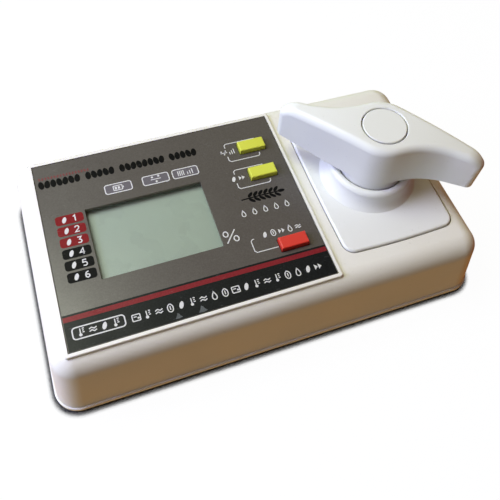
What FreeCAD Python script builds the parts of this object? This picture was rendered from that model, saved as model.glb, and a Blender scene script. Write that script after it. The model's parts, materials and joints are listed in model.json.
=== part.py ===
import FreeCAD, Part
import math
import os

# Handheld grain moisture meter.  Millimetres, +Z up, +X along the long side.
# The origin is the middle of the footprint, on the surface the feet stand on.
V = FreeCAD.Vector

# ---- overall size ----------------------------------------------------------------
CASE_LENGTH = 191.0
CASE_WIDTH = 109.0
OVERALL_HEIGHT = 67.0
PANEL_PLANE_Z = 34.8          # printed face of the control panel
FOOT_STANDOFF = 1.0           # gap that the feet leave under the case

# ---- case ------------------------------------------------------------------------
CASE_TOP_Z = 33.9
FLOOR_TOP_Z = 3.4
BAND_TOP_Z = 3.2              # the lower case shows as a low band under the upper case
BAND_STEP = 0.75              # the band stands this far proud of the upper case
BAND_EDGE_R = 0.5
CASE_DRAFT_DEG = 7.5
CASE_WALL = 2.5
CASE_CORNER_R = 9.3
CASE_EDGE_R = 8.3
DRAFT = math.tan(math.radians(CASE_DRAFT_DEG))
DECK_LOW_Z = CASE_TOP_Z - CASE_WALL
UPPER_LENGTH = CASE_LENGTH - 2 * BAND_STEP
UPPER_WIDTH = CASE_WIDTH - 2 * BAND_STEP
INNER_LENGTH = UPPER_LENGTH - 2 * CASE_WALL
INNER_WIDTH = UPPER_WIDTH - 2 * CASE_WALL
LIP_TOP_Z = 6.5               # the lower case's lip locates the upper case
LIP_WALL = 1.4
LIP_GAP = 0.8
LIP_CORNER_R = 6.0
POST_R = 3.5
CASE_POSTS = [(x, s * y) for x, y in ((-84.5, 27.0), (30.0, 42.0), (84.9, 27.0)) for s in (-1, 1)]
FEET = [(sx * 84.0, sy * 43.5) for sx in (-1, 1) for sy in (-1, 1)]
FOOT_R = 6.4
FOOT_SEAT_GAP = 0.3
FOOT_SEAT_DEPTH = 0.6
PARTING_Z = 2.0               # step in the edges of the battery door and of the case floor

# ---- control panel ---------------------------------------------------------------
PANEL_X = (-83.35, 23.92)
PANEL_Y = (-43.07, 43.76)
PANEL_THICKNESS = 1.5
PANEL_LOW_Z = PANEL_PLANE_Z - PANEL_THICKNESS
PANEL_GAP = 0.35
RIM_WIDTH = 1.5
RIM_TOP_Z = PANEL_PLANE_Z + 0.15
RIM_CORNER_R = 1.2
RIM_EDGE_R = 0.45
LCD_X = (-66.1, -16.0)
LCD_Y = (-17.5, 16.3)
WINDOW_Z = (31.3, 32.3)       # the pane lies well below the panel's printed face
LCD_Z = (28.7, 29.9, 31.2)    # rear sheet, front sheet, top of the front sheet
LCD_MARGINS = (0.9, 1.4)      # how far the rear and front sheets reach beyond the opening
WINDOW_MARGIN = 1.6
LCD_FRAME_MARGIN = 4.2
STRIP_HALF_Y = 1.2            # contact strips that join the glass to the board
STRIP_FROM_MIDDLE = 15.6
STRIP_GAP = 0.2

# ---- buttons ---------------------------------------------------------------------
BUTTON_LENGTH = 12.0
BUTTON_DEPTH = 5.6
BUTTON_GAP = 0.35
BUTTON_TOP_Z = PANEL_PLANE_Z + 2.4
BUTTON_X = 11.8
BUTTON_Y = {"average": 28.3, "select": 13.0, "measure": -24.4}
BUTTON_EDGE_R = 0.5
BUTTON_FLANGE = 1.3           # the flange reaches this far beyond the cap
BUTTON_FLANGE_LOW_Z = 30.2
SWITCH_SIDE = 6.0
SWITCH_TOP_Z = 27.2
SWITCH_WELL_Z = 23.9
SWITCH_STEM_Z = (25.2, 28.2)
SWITCH_STEM_R = 1.7

# ---- circuit board ---------------------------------------------------------------
BOARD_X = (-79.0, 26.0)
BOARD_Y = (-42.0, 42.0)
BOARD_Z = (22.0, 23.6)
BOARD_POSTS = [(x, s * 37.0) for x in (-74.0, 21.0) for s in (-1, 1)]
BOARD_POST_R = 3.0
CAPACITORS = ((-4.0, -36.0), (-12.0, -36.0), (-4.0, 36.0))
CAPACITOR_SIZE = (3.0, 6.5)   # radius, height
CONNECTOR_PLACE = (22.0, 2.0)
CONNECTOR_SIZE = (5.0, 12.0, 5.5)
CONNECTOR_PITCH = 2.5

# ---- batteries -------------------------------------------------------------------
CELL_COUNT = 4
CELL_R = 7.1
CELL_PITCH = 15.2
CELL_LENGTH = 49.5
CELL_Z = 11.3
BATTERY_X = -46.0
BATTERY_Y = (-12.1, 45.1)     # inside of the battery box
WIRE_R = 0.7
BOX_HALF = 31.6
BOX_WALL = 1.4
BOX_TOP_Z = 19.8
BOX_ROOF = 1.2
BOX_RIB_LOW_Z = 15.0
CELL_FRONT_GAP = 3.6          # from the front wall of the box to the can
NUB_R = 2.7
NUB_LENGTH = 1.0
CONTACT_T = 0.4
CONTACT_HALF_X = 5.0
CONTACT_Z = (6.5, 16.0)
LEAF_HALF_X = 3.0
LEAF_Z = (8.0, 14.6)
LEAF_CREST = 2.3              # the bowed leaf stands this far off the wall
BRIDGE_Z = (9.0, 13.0)
TAG_Z = (16.8, 17.2)          # solder tags that reach out through the front wall
TAG_HALF_X = 2.0
TAG_REACH = 3.2
DOOR_GAP = 0.4                # on each side of the battery door
DOOR_STEP = 1.5               # the door's outer face is this much narrower on each side
DOOR_GROOVES = (5, 2.6, 24.0, 1.2)      # count, pitch, length, width

# ---- sample press ----------------------------------------------------------------
PRESS_X = 57.15
PRESS_Y = -0.73
FRAME_HALF_X = 22.0
FRAME_HALF_Y = 28.0
FRAME_Z = (4.4, 31.2)
FRAME_WINDOW_HALF_Y = 20.5
FRAME_WINDOW_Z = (9.0, 27.0)
FRAME_CORNER_R = 3.0
PRESS_OPENING_R = 17.0        # round opening in the deck above the press
COVER_HALF_X = 26.2
COVER_HALF_Y = 36.1
COVER_LOW_Z = 32.9
COVER_GAP = 0.45
COLLAR_BORE_R = 15.1
COLLAR_LIP = ((15.1, 42.3), (16.7, 43.75), (18.8, 42.3))    # inner edge, crest, outer edge
COLLAR_FLARE = ((19.7, 37.2), (21.7, PANEL_PLANE_Z))        # half way down, foot
COLLAR_FLOOR_TOP_Z = 33.8
COLLAR_FLOOR_R = 10.4         # hole for the nut
COVER_CORNER_R = 5.0
COVER_EDGE_R = 1.0
COVER_BOW = (0.5, 0.9)        # how far the cover's sides bow out, along X and along Y
SPINDLE_R = 7.0
NECK_R = 4.0
NECK_LOW_Z = 17.8
CLIP_Z = (18.45, 19.25)
CLIP_R = (3.35, 5.9)
DRIVE_R = 5.0                 # the top of the spindle has two flats that drive the handle
DRIVE_FLATS = 8.0
RUNNING_GAP = 0.05            # radial clearance of every running fit
NUT_R = 9.95
NUT_Z = (25.9, 38.0)
NUT_FLANGE_R = 12.5
ROD_Y = 17.5
ROD_R = 2.0
ROD_Z = (6.0, 29.9)
PLUNGER_Z = (15.2, 17.0, 19.6, 21.2)   # electrode face, block, cap, top of cap
ELECTRODE_R = 9.2
PLUNGER_BLOCK_R = 12.2
PLUNGER_BAR = (11.0, 40.0, 4.0)         # length, width, corner radius
PLUNGER_POCKET = (6.5, 17.6)            # radius and floor of the pocket for the clip
PLUNGER_CAP_R = 10.0
PLUNGER_SCREWS_R = 8.0                  # pitch circle
PLUNGER_SCREW_ANGLES = (30, 150, 270)
LOWER_ELECTRODE_R = 9.5
LOWER_ELECTRODE_Z = (7.5, 9.7)
LOWER_STUD_R = 2.0
LOWER_STUD_Z = 5.3
INSULATOR_R = 12.9
INSULATOR_LOW_Z = 6.5
TERMINAL_X = (-25.0, 4.0)
TERMINAL_HALF_Y = 2.45
TERMINAL_Z = (5.5, 6.0)
SENSOR_R = 1.8
SENSOR_LENGTH = 9.5
SENSOR_Y = -12.0
SENSOR_Z = 6.8

# ---- sample tray -----------------------------------------------------------------
TRAY_Z = (10.0, 14.6)
TRAY_HALF_Y = 14.0
TRAY_X = (37.15, 90.8)
TRAY_FACE_Z = (8.6, 17.4)
TRAY_FACE_HALF_Y = 16.0
TRAY_FACE_GAP = 0.3
TRAY_RIDGE_X = 92.0
TRAY_RIDGE_HALF_Y = 9.0
TRAY_RIDGE_Z = (12.4, 14.0)
DISH_R = 10.6
DISH_WALL = 0.9
DISH_SEAT = 1.0               # the dish's step stands this far above the tray's underside
GUIDE_X = (-21.0, 32.8)
GUIDE_Z = (9.0, 9.8, 13.0)    # underside, ledge, top
GUIDE_Y = (12.6, 14.3, 15.35)           # ledge's edge, inside of the wall, outside

# ---- handle ----------------------------------------------------------------------
HUB_R = 14.65
WING_LENGTH = 41.7            # from the turning axis to each end
WING_LOW_Z = 46.2
WING_RISE = 1.5               # the underside rises this much from the hub to the wing's end
WING_END_T = 8.5              # inner corner of the wing's end, across the wing
WING_FLARE_DEG = 52.0
WING_TAPER_DEG = 15.0
WING_HOLLOW_R = 33.0
WING_CORNERS_R = (3.2, 3.0)
CROWN_R = 300.0               # the top is crowned along the handle
WING_END_ROUND = (10.0, 7.5)  # the top rolls over at the wing's end: radius, length
HANDLE_EDGE_R = 3.0
HANDLE_WALL = 2.6
HANDLE_TURN_DEG = -53.0
SKIRT_LOW_Z = 37.2
SKIRT_BORE_R = 12.3
HUB_FLOOR_Z = 41.5
HUB_SEAT_Z = 57.2
HUB_BORE_R = 7.9              # room for the screw's head and the cap's ring
RIB_X = (18.0, 25.0, 32.0)
RIB_T = 1.4
RIB_LOW_Z = WING_LOW_Z + 2.5
HANDLE_TOP_T = 3.0
CAP_R = 9.15
CAP_GAP = 0.5
CAP_CHAMFER = 0.4
CAP_LOW_Z = 64.3
CAP_RING = (6.6, 7.8, 61.0)   # inner radius, outer radius, underside

# ---- screws: head radius, shank radius, hole radius in the piece that they grip --
CASE_SCREW = (2.8, 1.4, 1.45)
CASE_SCREW_Z = (1.3, 2.2, 14.0)         # head's underside, head's top, tip
CASE_SCREW_HEAD_ROOM = (3.2, 1.7)       # counterbore and clearance hole radii
BOARD_SCREW = (2.6, 1.25, 1.3)
BOARD_SCREW_HEAD_Z = 20.4
BOARD_SCREW_TIP_Z = 29.0
COVER_SCREW = (2.6, 1.2, 1.25)
COVER_SCREW_Z = (29.8, 33.8)            # head's underside, tip
PRESS_SCREW = (3.5, 1.7, 1.75)
PRESS_SCREW_Z = (1.4, 3.2, 15.0)
PRESS_SCREW_HEAD_ROOM = (3.9, 2.2)
PLUNGER_SCREW = (1.5, 0.8, 0.85)
PLUNGER_SCREW_Z = (20.5, 21.15, 16.1)   # head's underside, head's top, tip
PLUNGER_SCREW_ROOM = (1.55, 0.95)
HANDLE_SCREW = (7.0, 2.4, 2.45)
HANDLE_SCREW_Z = (60.2, 45.0)           # head's top, tip


# ---- shape helpers ---------------------------------------------------------------
def box(x, y, z):
    return Part.makeBox(x[1] - x[0], y[1] - y[0], z[1] - z[0], V(x[0], y[0], z[0]))


def block(cx, cy, length, depth, z):
    return box((cx - length / 2, cx + length / 2), (cy - depth / 2, cy + depth / 2), z)


def post(cx, cy, z, radius):
    return Part.makeCylinder(radius, z[1] - z[0], V(cx, cy, z[0]))


def ring(cx, cy, z, inner, outer):
    return post(cx, cy, z, outer).cut(post(cx, cy, z, inner))


def rod(start, direction, length, radius):
    return Part.makeCylinder(radius, length, V(*start), V(*direction))


def join(shapes):
    whole = shapes[0].multiFuse(shapes[1:]) if len(shapes) > 1 else shapes[0]
    return whole.removeSplitter()


def group(shapes):
    return Part.makeCompound(shapes)


def rounded_polygon(corners, z):
    """Closed wire through (x, y, radius) corners, each rounded by a tangent arc."""
    arcs = []
    for i, (x, y, radius) in enumerate(corners):
        here = V(x, y, z)
        before = (here - V(corners[i - 1][0], corners[i - 1][1], z)).normalize()
        after_corner = corners[(i + 1) % len(corners)]
        after = (V(after_corner[0], after_corner[1], z) - here).normalize()
        half_turn = before.getAngle(after) / 2
        reach = radius * math.tan(half_turn)
        inward = (after - before).normalize()
        middle = here + inward * (radius / math.cos(half_turn) - radius)
        arcs.append((here - before * reach, middle, here + after * reach))
    edges = []
    for i, (start, middle, end) in enumerate(arcs):
        last_end = arcs[i - 1][2]
        if (start - last_end).Length > 1e-6:
            edges.append(Part.LineSegment(last_end, start).toShape())
        edges.append(Part.Arc(start, middle, end).toShape())
    return Part.Wire(edges)


def prism(wire, z_high):
    z_low = wire.BoundBox.ZMin
    return Part.Face(wire).extrude(V(0, 0, z_high - z_low))


def rounded_block(cx, cy, length, depth, z, radius):
    half_x = length / 2
    half_y = depth / 2
    corners = [(cx + sx * half_x, cy + sy * half_y, radius)
               for sx, sy in ((-1, -1), (1, -1), (1, 1), (-1, 1))]
    return prism(rounded_polygon(corners, z[0]), z[1])


def drafted_block(length, width, z, corner_r, edge_r):
    """Block whose sides lean in towards a rounded top."""
    inset = (z[1] - z[0]) * DRAFT
    wires = []
    for height, shrink in ((z[0], 0.0), (z[1], inset)):
        x = length / 2 - shrink
        y = width / 2 - shrink
        wires.append(Part.makePolygon([V(-x, -y, height), V(x, -y, height), V(x, y, height),
                                       V(-x, y, height), V(-x, -y, height)]))
    solid = Part.makeLoft(wires, True, True)
    upright = [e for e in solid.Edges if abs(e.tangentAt(e.FirstParameter).z) > 0.5]
    solid = solid.makeFillet(corner_r, upright)
    top = [e for e in solid.Edges if e.BoundBox.ZMin > z[1] - 0.01]
    return solid.makeFillet(edge_r, top)


def revolve(points, cx, cy):
    """Solid of revolution; points are (radius, z), or three in a tuple for an arc."""
    edges = []
    last = None
    for item in points + [points[0]]:
        if isinstance(item[0], tuple):
            middle = V(item[0][0], 0, item[0][1])
            end = V(item[1][0], 0, item[1][1])
            edges.append(Part.Arc(last, middle, end).toShape())
        else:
            end = V(item[0], 0, item[1])
            if last is not None and (end - last).Length > 1e-6:
                edges.append(Part.LineSegment(last, end).toShape())
        last = end
    solid = Part.Face(Part.Wire(edges)).revolve(V(0, 0, 0), V(0, 0, 1), 360)
    solid.translate(V(cx, cy, 0))
    return solid


def screw(cx, cy, head_z, head_r, tip_z, shank_r, slot=1.0):
    """Cross-headed screw driven from below (tip above head) or above."""
    up = tip_z > head_z[1]
    head = post(cx, cy, head_z, head_r)
    shank_z = (head_z[1], tip_z) if up else (tip_z, head_z[0])
    body = join([head, post(cx, cy, shank_z, shank_r)])
    depth = (head_z[1] - head_z[0]) * 0.5
    slot_z = (head_z[0] - 1, head_z[0] + depth) if up else (head_z[1] - depth, head_z[1] + 1)
    for length, width in ((head_r * 1.2, slot * 0.5), (slot * 0.5, head_r * 1.2)):
        body = body.cut(block(cx, cy, length, width, slot_z))
    return body


def wire_run(points, radius, bend):
    """Round insulated wire along straight runs joined by arcs of one bend radius."""
    points = [V(*p) for p in points]
    edges = []
    last = points[0]
    for i in range(1, len(points) - 1):
        before = (points[i] - points[i - 1]).normalize()
        after = (points[i + 1] - points[i]).normalize()
        half_turn = before.getAngle(after) / 2
        reach = bend * math.tan(half_turn)
        start = points[i] - before * reach
        end = points[i] + after * reach
        middle = points[i] + (after - before).normalize() * (bend / math.cos(half_turn) - bend)
        edges.append(Part.LineSegment(last, start).toShape())
        edges.append(Part.Arc(start, middle, end).toShape())
        last = end
    edges.append(Part.LineSegment(last, points[-1]).toShape())
    path = Part.Wire(edges)
    profile = Part.Wire(Part.Circle(points[0], points[1] - points[0], radius).toShape())
    return path.makePipeShell([profile], True, True)


# ---- case ------------------------------------------------------------------------
def cover_outline(grow, z):
    """Outline of the press cover: a rectangle with slightly bowed sides."""
    x = COVER_HALF_X + grow
    y = COVER_HALF_Y + grow
    bow_x, bow_y = COVER_BOW
    corners = [V(-x + bow_x, -y + bow_y, z), V(x - bow_x, -y + bow_y, z),
               V(x - bow_x, y - bow_y, z), V(-x + bow_x, y - bow_y, z)]
    middles = [V(0, -y, z), V(x, 0, z), V(0, y, z), V(-x, 0, z)]
    edges = [Part.Arc(corners[i], middles[i], corners[(i + 1) % 4]).toShape() for i in range(4)]
    wire = Part.Wire(edges)
    wire.translate(V(PRESS_X, PRESS_Y, 0))
    return wire


def cover_block(grow, z):
    solid = prism(cover_outline(grow, z[0]), z[1])
    upright = [e for e in solid.Edges if e.BoundBox.ZLength > 0.5 * (z[1] - z[0])]
    return solid.makeFillet(COVER_CORNER_R + grow, upright)


def button_centres():
    return [(BUTTON_X, y) for y in BUTTON_Y.values()]


def upper_case():
    outer_z = (FLOOR_TOP_Z, CASE_TOP_Z)
    inner_z = (FLOOR_TOP_Z, DECK_LOW_Z)
    shell = drafted_block(UPPER_LENGTH, UPPER_WIDTH, outer_z, CASE_CORNER_R, CASE_EDGE_R)
    cavity = drafted_block(INNER_LENGTH, INNER_WIDTH, inner_z,
                           CASE_CORNER_R - CASE_WALL, CASE_EDGE_R - CASE_WALL)
    panel_mid_x = sum(PANEL_X) / 2
    panel_mid_y = sum(PANEL_Y) / 2
    recess_length = PANEL_X[1] - PANEL_X[0] + 2 * PANEL_GAP
    recess_width = PANEL_Y[1] - PANEL_Y[0] + 2 * PANEL_GAP
    rim = rounded_block(panel_mid_x, panel_mid_y, recess_length + 2 * RIM_WIDTH,
                        recess_width + 2 * RIM_WIDTH, (DECK_LOW_Z, RIM_TOP_Z), RIM_CORNER_R)
    rim_edges = [e for e in rim.Edges if e.BoundBox.ZMin > RIM_TOP_Z - 0.01]
    rim = rim.makeFillet(RIM_EDGE_R, rim_edges)
    shell = shell.fuse(rim).cut(cavity)
    posts_top_z = DECK_LOW_Z + 0.2
    posts = [post(x, y, (FLOOR_TOP_Z + 0.2, posts_top_z), POST_R) for x, y in CASE_POSTS]
    posts += [post(x, y, (BOARD_Z[1], posts_top_z), BOARD_POST_R) for x, y in BOARD_POSTS]
    shell = join([shell] + posts)
    tools = [block(panel_mid_x, panel_mid_y, recess_length, recess_width,
                   (PANEL_LOW_Z, RIM_TOP_Z + 1))]
    window_z = (DECK_LOW_Z - 1, PANEL_LOW_Z + 1)
    tools.append(around_lcd(WINDOW_MARGIN + 0.2, window_z))
    for x, y in button_centres():
        tools.append(block(x, y, BUTTON_LENGTH + 2 * BUTTON_GAP, BUTTON_DEPTH + 2 * BUTTON_GAP,
                           window_z))
    tools.append(cover_block(COVER_GAP, (COVER_LOW_Z, CASE_TOP_Z + 1)))
    tools.append(post(PRESS_X, PRESS_Y, (DECK_LOW_Z - 1, CASE_TOP_Z), PRESS_OPENING_R))
    opening_y = TRAY_FACE_HALF_Y + TRAY_FACE_GAP
    opening_z = (TRAY_FACE_Z[0] - TRAY_FACE_GAP, TRAY_FACE_Z[1] + TRAY_FACE_GAP)
    tools.append(box((88.0, UPPER_LENGTH / 2 + 1), (PRESS_Y - opening_y, PRESS_Y + opening_y),
                     opening_z))
    case_hole_z = (FLOOR_TOP_Z, CASE_SCREW_Z[2] + 2)
    tools += [post(x, y, case_hole_z, CASE_SCREW[2]) for x, y in CASE_POSTS]
    board_hole_z = (BOARD_Z[1] - 1, BOARD_SCREW_TIP_Z + 1)
    tools += [post(x, y, board_hole_z, BOARD_SCREW[2]) for x, y in BOARD_POSTS]
    cover_hole_z = (DECK_LOW_Z - 1, CASE_TOP_Z)
    tools += [post(x, y, cover_hole_z, COVER_SCREW[2] + 0.15) for x, y in cover_screw_places()]
    return shell.cut(group(tools))


def door_span(inset, step):
    """Reach along X of the door, or of its opening."""
    return (BATTERY_X - BOX_HALF + inset + step, BATTERY_X + BOX_HALF - inset - step)


def press_screw_places():
    return [(PRESS_X + sx * 17.0, PRESS_Y + sy * 24.2) for sx in (-1, 1) for sy in (-1, 1)]


def cover_screw_places():
    return [(PRESS_X + sx * 18.0, PRESS_Y + sy * 31.5) for sx in (-1, 1) for sy in (-1, 1)]


def lower_case():
    floor = rounded_block(0, 0, CASE_LENGTH, CASE_WIDTH, (FOOT_STANDOFF, BAND_TOP_Z),
                          CASE_CORNER_R + BAND_STEP)
    band_edges = [e for e in floor.Edges if e.BoundBox.ZLength < 0.01]
    floor = floor.makeFillet(BAND_EDGE_R, band_edges)
    deck = rounded_block(0, 0, UPPER_LENGTH - 3.0, UPPER_WIDTH - 3.0, (PARTING_Z, FLOOR_TOP_Z), 8.0)
    lip_z = (FLOOR_TOP_Z - 1, LIP_TOP_Z)
    lip_length = INNER_LENGTH - 2 * LIP_GAP
    lip_width = INNER_WIDTH - 2 * LIP_GAP
    lip = rounded_block(0, 0, lip_length, lip_width, lip_z, LIP_CORNER_R)
    lip = lip.cut(rounded_block(0, 0, lip_length - 2 * LIP_WALL, lip_width - 2 * LIP_WALL, lip_z,
                                LIP_CORNER_R - LIP_WALL))
    pad = block(PRESS_X, PRESS_Y, 2 * FRAME_HALF_X + 4, 2 * FRAME_HALF_Y + 4,
                (FLOOR_TOP_Z - 1, FRAME_Z[0]))
    tray = join([floor, deck, lip, pad])
    tools = []
    door_y = (BATTERY_Y[0] - 0.2, CASE_WIDTH / 2 + 1)
    tools.append(box(door_span(0.1, DOOR_STEP), door_y, (FOOT_STANDOFF - 1, PARTING_Z)))
    tools.append(box(door_span(0.1, 0.0), door_y, (PARTING_Z, LIP_TOP_Z + 1)))
    for x, y in CASE_POSTS:
        tools.append(post(x, y, (0, CASE_SCREW_Z[1]), CASE_SCREW_HEAD_ROOM[0]))
        tools.append(post(x, y, (0, FLOOR_TOP_Z + 1), CASE_SCREW_HEAD_ROOM[1]))
    for x, y in press_screw_places():
        tools.append(post(x, y, (0, PRESS_SCREW_Z[1]), PRESS_SCREW_HEAD_ROOM[0]))
        tools.append(post(x, y, (0, FRAME_Z[0] + 1), PRESS_SCREW_HEAD_ROOM[1]))
    seat_z = (0, FOOT_STANDOFF + FOOT_SEAT_DEPTH)
    tools += [post(x, y, seat_z, FOOT_R + FOOT_SEAT_GAP) for x, y in FEET]
    return tray.cut(group(tools))


def battery_door():
    back = CASE_WIDTH / 2
    front = BATTERY_Y[0]
    lower = box(door_span(DOOR_GAP, DOOR_STEP), (front, back), (FOOT_STANDOFF, PARTING_Z + 0.2))
    upper = box(door_span(DOOR_GAP, 0.0), (front, back), (PARTING_Z + 0.1, BAND_TOP_Z))
    door = join([lower, upper])
    outer = [e for e in door.Edges if e.BoundBox.YMin > back - 0.01
             and e.BoundBox.XLength > 10 and e.BoundBox.ZMax < FOOT_STANDOFF + 0.01]
    door = door.makeFillet(BAND_EDGE_R, outer)
    count, pitch, length, width = DOOR_GROOVES
    grooves = [block(BATTERY_X, back - 10.0 - pitch * i, length, width, (0, FOOT_STANDOFF + 0.5))
               for i in range(count)]
    return door.cut(group(grooves))


def rubber_feet():
    feet = []
    for x, y in FEET:
        foot = post(x, y, (0, FOOT_STANDOFF + FOOT_SEAT_DEPTH), FOOT_R)
        low = [e for e in foot.Edges if e.BoundBox.ZMax < 0.01]
        feet.append(foot.makeFillet(0.4, low))
    return group(feet)


def case_screws():
    head_z = CASE_SCREW_Z[:2]
    return group([screw(x, y, head_z, CASE_SCREW[0], CASE_SCREW_Z[2], CASE_SCREW[1])
                  for x, y in CASE_POSTS])


# ---- control panel and display ---------------------------------------------------
def panel_plate():
    plate = box(PANEL_X, PANEL_Y, (PANEL_LOW_Z, PANEL_PLANE_Z))
    tools = [box(LCD_X, LCD_Y, (PANEL_LOW_Z - 1, PANEL_PLANE_Z + 1))]
    for x, y in button_centres():
        tools.append(block(x, y, BUTTON_LENGTH + 2 * BUTTON_GAP, BUTTON_DEPTH + 2 * BUTTON_GAP,
                           (PANEL_LOW_Z - 1, PANEL_PLANE_Z + 1)))
    return plate.cut(group(tools))


def around_lcd(margin, z):
    """Box that reaches a margin beyond the display opening on all four sides."""
    return box((LCD_X[0] - margin, LCD_X[1] + margin), (LCD_Y[0] - margin, LCD_Y[1] + margin), z)


def display_window():
    return around_lcd(WINDOW_MARGIN, WINDOW_Z)


def lcd_glass():
    front = around_lcd(LCD_MARGINS[1], (LCD_Z[1], LCD_Z[2]))
    rear = around_lcd(LCD_MARGINS[0], (LCD_Z[0], LCD_Z[1]))
    return join([front, rear])


def strip_box(side, grow, z):
    middle = (LCD_Y[0] + LCD_Y[1]) / 2 + side * STRIP_FROM_MIDDLE
    half = STRIP_HALF_Y + grow
    return box((LCD_X[0] + 1 - grow, LCD_X[1] - 1 + grow), (middle - half, middle + half), z)


def lcd_frame():
    frame = around_lcd(LCD_FRAME_MARGIN, (BOARD_Z[1], DECK_LOW_Z - 0.2))
    through_z = (BOARD_Z[0], LCD_Z[1])
    tools = [around_lcd(WINDOW_MARGIN, (LCD_Z[0] - 0.1, DECK_LOW_Z))]
    tools.append(box((LCD_X[0] + 2, LCD_X[1] - 2), (LCD_Y[0] + 5, LCD_Y[1] - 5), through_z))
    tools += [strip_box(side, STRIP_GAP, through_z) for side in (-1, 1)]
    return frame.cut(group(tools))


def lcd_contact_strips():
    return group([strip_box(side, 0.0, (BOARD_Z[1], LCD_Z[0])) for side in (-1, 1)])


# ---- circuit board ---------------------------------------------------------------
def main_board():
    board = box(BOARD_X, BOARD_Y, BOARD_Z)
    hole_z = (BOARD_Z[0] - 1, BOARD_Z[1] + 1)
    holes = [post(x, y, hole_z, BOARD_SCREW[1] + 0.25) for x, y in BOARD_POSTS]
    return board.cut(group(holes))


def legged_chip(cx, cy, length, depth, height, legs):
    """Surface-mounted package with a row of legs along its front and back."""
    base = BOARD_Z[1]
    pieces = [block(cx, cy, length, depth, (base + 0.4, base + height))]
    pitch = length / (legs + 1)
    for i in range(legs):
        x = cx - length / 2 + pitch * (i + 1)
        pieces.append(block(x, cy, pitch * 0.4, depth + 3.0, (base, base + 0.5)))
    return join(pieces)


def board_capacitors():
    radius, height = CAPACITOR_SIZE
    cans = []
    for x, y in CAPACITORS:
        can = post(x, y, (BOARD_Z[1], BOARD_Z[1] + height), radius)
        top = [e for e in can.Edges if e.BoundBox.ZMin > BOARD_Z[1] + height - 0.1]
        cans.append(can.makeFillet(0.5, top))
    return group(cans)


def board_crystal():
    return rounded_block(-4.0, 16.0, 10.0, 4.2, (BOARD_Z[1], BOARD_Z[1] + 3.6), 2.0)


def wire_connector():
    x, y = CONNECTOR_PLACE
    length, depth, height = CONNECTOR_SIZE
    body = block(x, y, length, depth, (BOARD_Z[1], BOARD_Z[1] + height))
    slot_z = (BOARD_Z[1] + 2, BOARD_Z[1] + height + 1)
    slots = [block(x, y + (i - 1.5) * CONNECTOR_PITCH, 2.0, 1.4, slot_z) for i in range(4)]
    return body.cut(group(slots))


def board_screws():
    head_z = (BOARD_SCREW_HEAD_Z, BOARD_Z[0])
    return group([screw(x, y, head_z, BOARD_SCREW[0], BOARD_SCREW_TIP_Z, BOARD_SCREW[1])
                  for x, y in BOARD_POSTS])


def switch_body(y):
    body = block(BUTTON_X, y, SWITCH_SIDE, SWITCH_SIDE, (BOARD_Z[1], SWITCH_TOP_Z))
    return body.cut(post(BUTTON_X, y, (SWITCH_WELL_Z, SWITCH_TOP_Z + 1), SWITCH_STEM_R + 0.1))


def switch_stem(y):
    return post(BUTTON_X, y, SWITCH_STEM_Z, SWITCH_STEM_R)


def button_cap(y):
    """Cap with a flange that holds it under the case, and a post down to its switch."""
    flange_z = (BUTTON_FLANGE_LOW_Z, DECK_LOW_Z - 0.2)
    cap = block(BUTTON_X, y, BUTTON_LENGTH, BUTTON_DEPTH, (flange_z[0], BUTTON_TOP_Z))
    top = [e for e in cap.Edges if e.BoundBox.ZMin > BUTTON_TOP_Z - 0.01]
    cap = cap.makeFillet(BUTTON_EDGE_R, top)
    flange = block(BUTTON_X, y, BUTTON_LENGTH + 2 * BUTTON_FLANGE,
                   BUTTON_DEPTH + 2 * BUTTON_FLANGE, flange_z)
    foot = post(BUTTON_X, y, (SWITCH_STEM_Z[1], flange_z[0] + 0.5), SWITCH_STEM_R - 0.1)
    return join([cap, flange, foot])


# ---- batteries -------------------------------------------------------------------
def cell_x(index):
    return BATTERY_X + (index - (CELL_COUNT - 1) / 2) * CELL_PITCH


def battery_box():
    """Open-bottomed box with a low rib between each pair of cells."""
    half = BOX_HALF + BOX_WALL
    outer = box((BATTERY_X - half, BATTERY_X + half),
                (BATTERY_Y[0] - BOX_WALL, BATTERY_Y[1] + BOX_WALL), (FLOOR_TOP_Z, BOX_TOP_Z))
    room = box((BATTERY_X - BOX_HALF, BATTERY_X + BOX_HALF), BATTERY_Y, (0, BOX_TOP_Z - BOX_ROOF))
    shell = outer.cut(room)
    for i in range(CELL_COUNT - 1):
        x = (cell_x(i) + cell_x(i + 1)) / 2
        shell = shell.fuse(box((x - 0.3, x + 0.3), (BATTERY_Y[0] - 0.5, BATTERY_Y[1] + 0.5),
                               (BOX_RIB_LOW_Z, BOX_TOP_Z - 0.5)))
    slot_half = TAG_HALF_X + 0.2
    slot_z = (TAG_Z[0] - 0.2, TAG_Z[1] + 0.2)
    slots = [box((cell_x(i) - slot_half, cell_x(i) + slot_half),
                 (BATTERY_Y[0] - 3, BATTERY_Y[0] + 1), slot_z) for i in (0, CELL_COUNT - 1)]
    return shell.cut(group(slots)).removeSplitter()


def battery_cell(index):
    """AA cell; every second one is turned end for end."""
    start = BATTERY_Y[0] + CELL_FRONT_GAP
    flip = index % 2 == 1
    can = rod((cell_x(index), start, CELL_Z), (0, 1, 0), CELL_LENGTH, CELL_R)
    ends = [e for e in can.Edges if e.BoundBox.YLength < 0.01]
    can = can.makeFillet(0.6, ends)
    nub_start = start - NUB_LENGTH if flip else start + CELL_LENGTH - 0.5
    nub = rod((cell_x(index), nub_start, CELL_Z), (0, 1, 0), NUB_LENGTH + 0.5, NUB_R)
    return join([can, nub])


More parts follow.
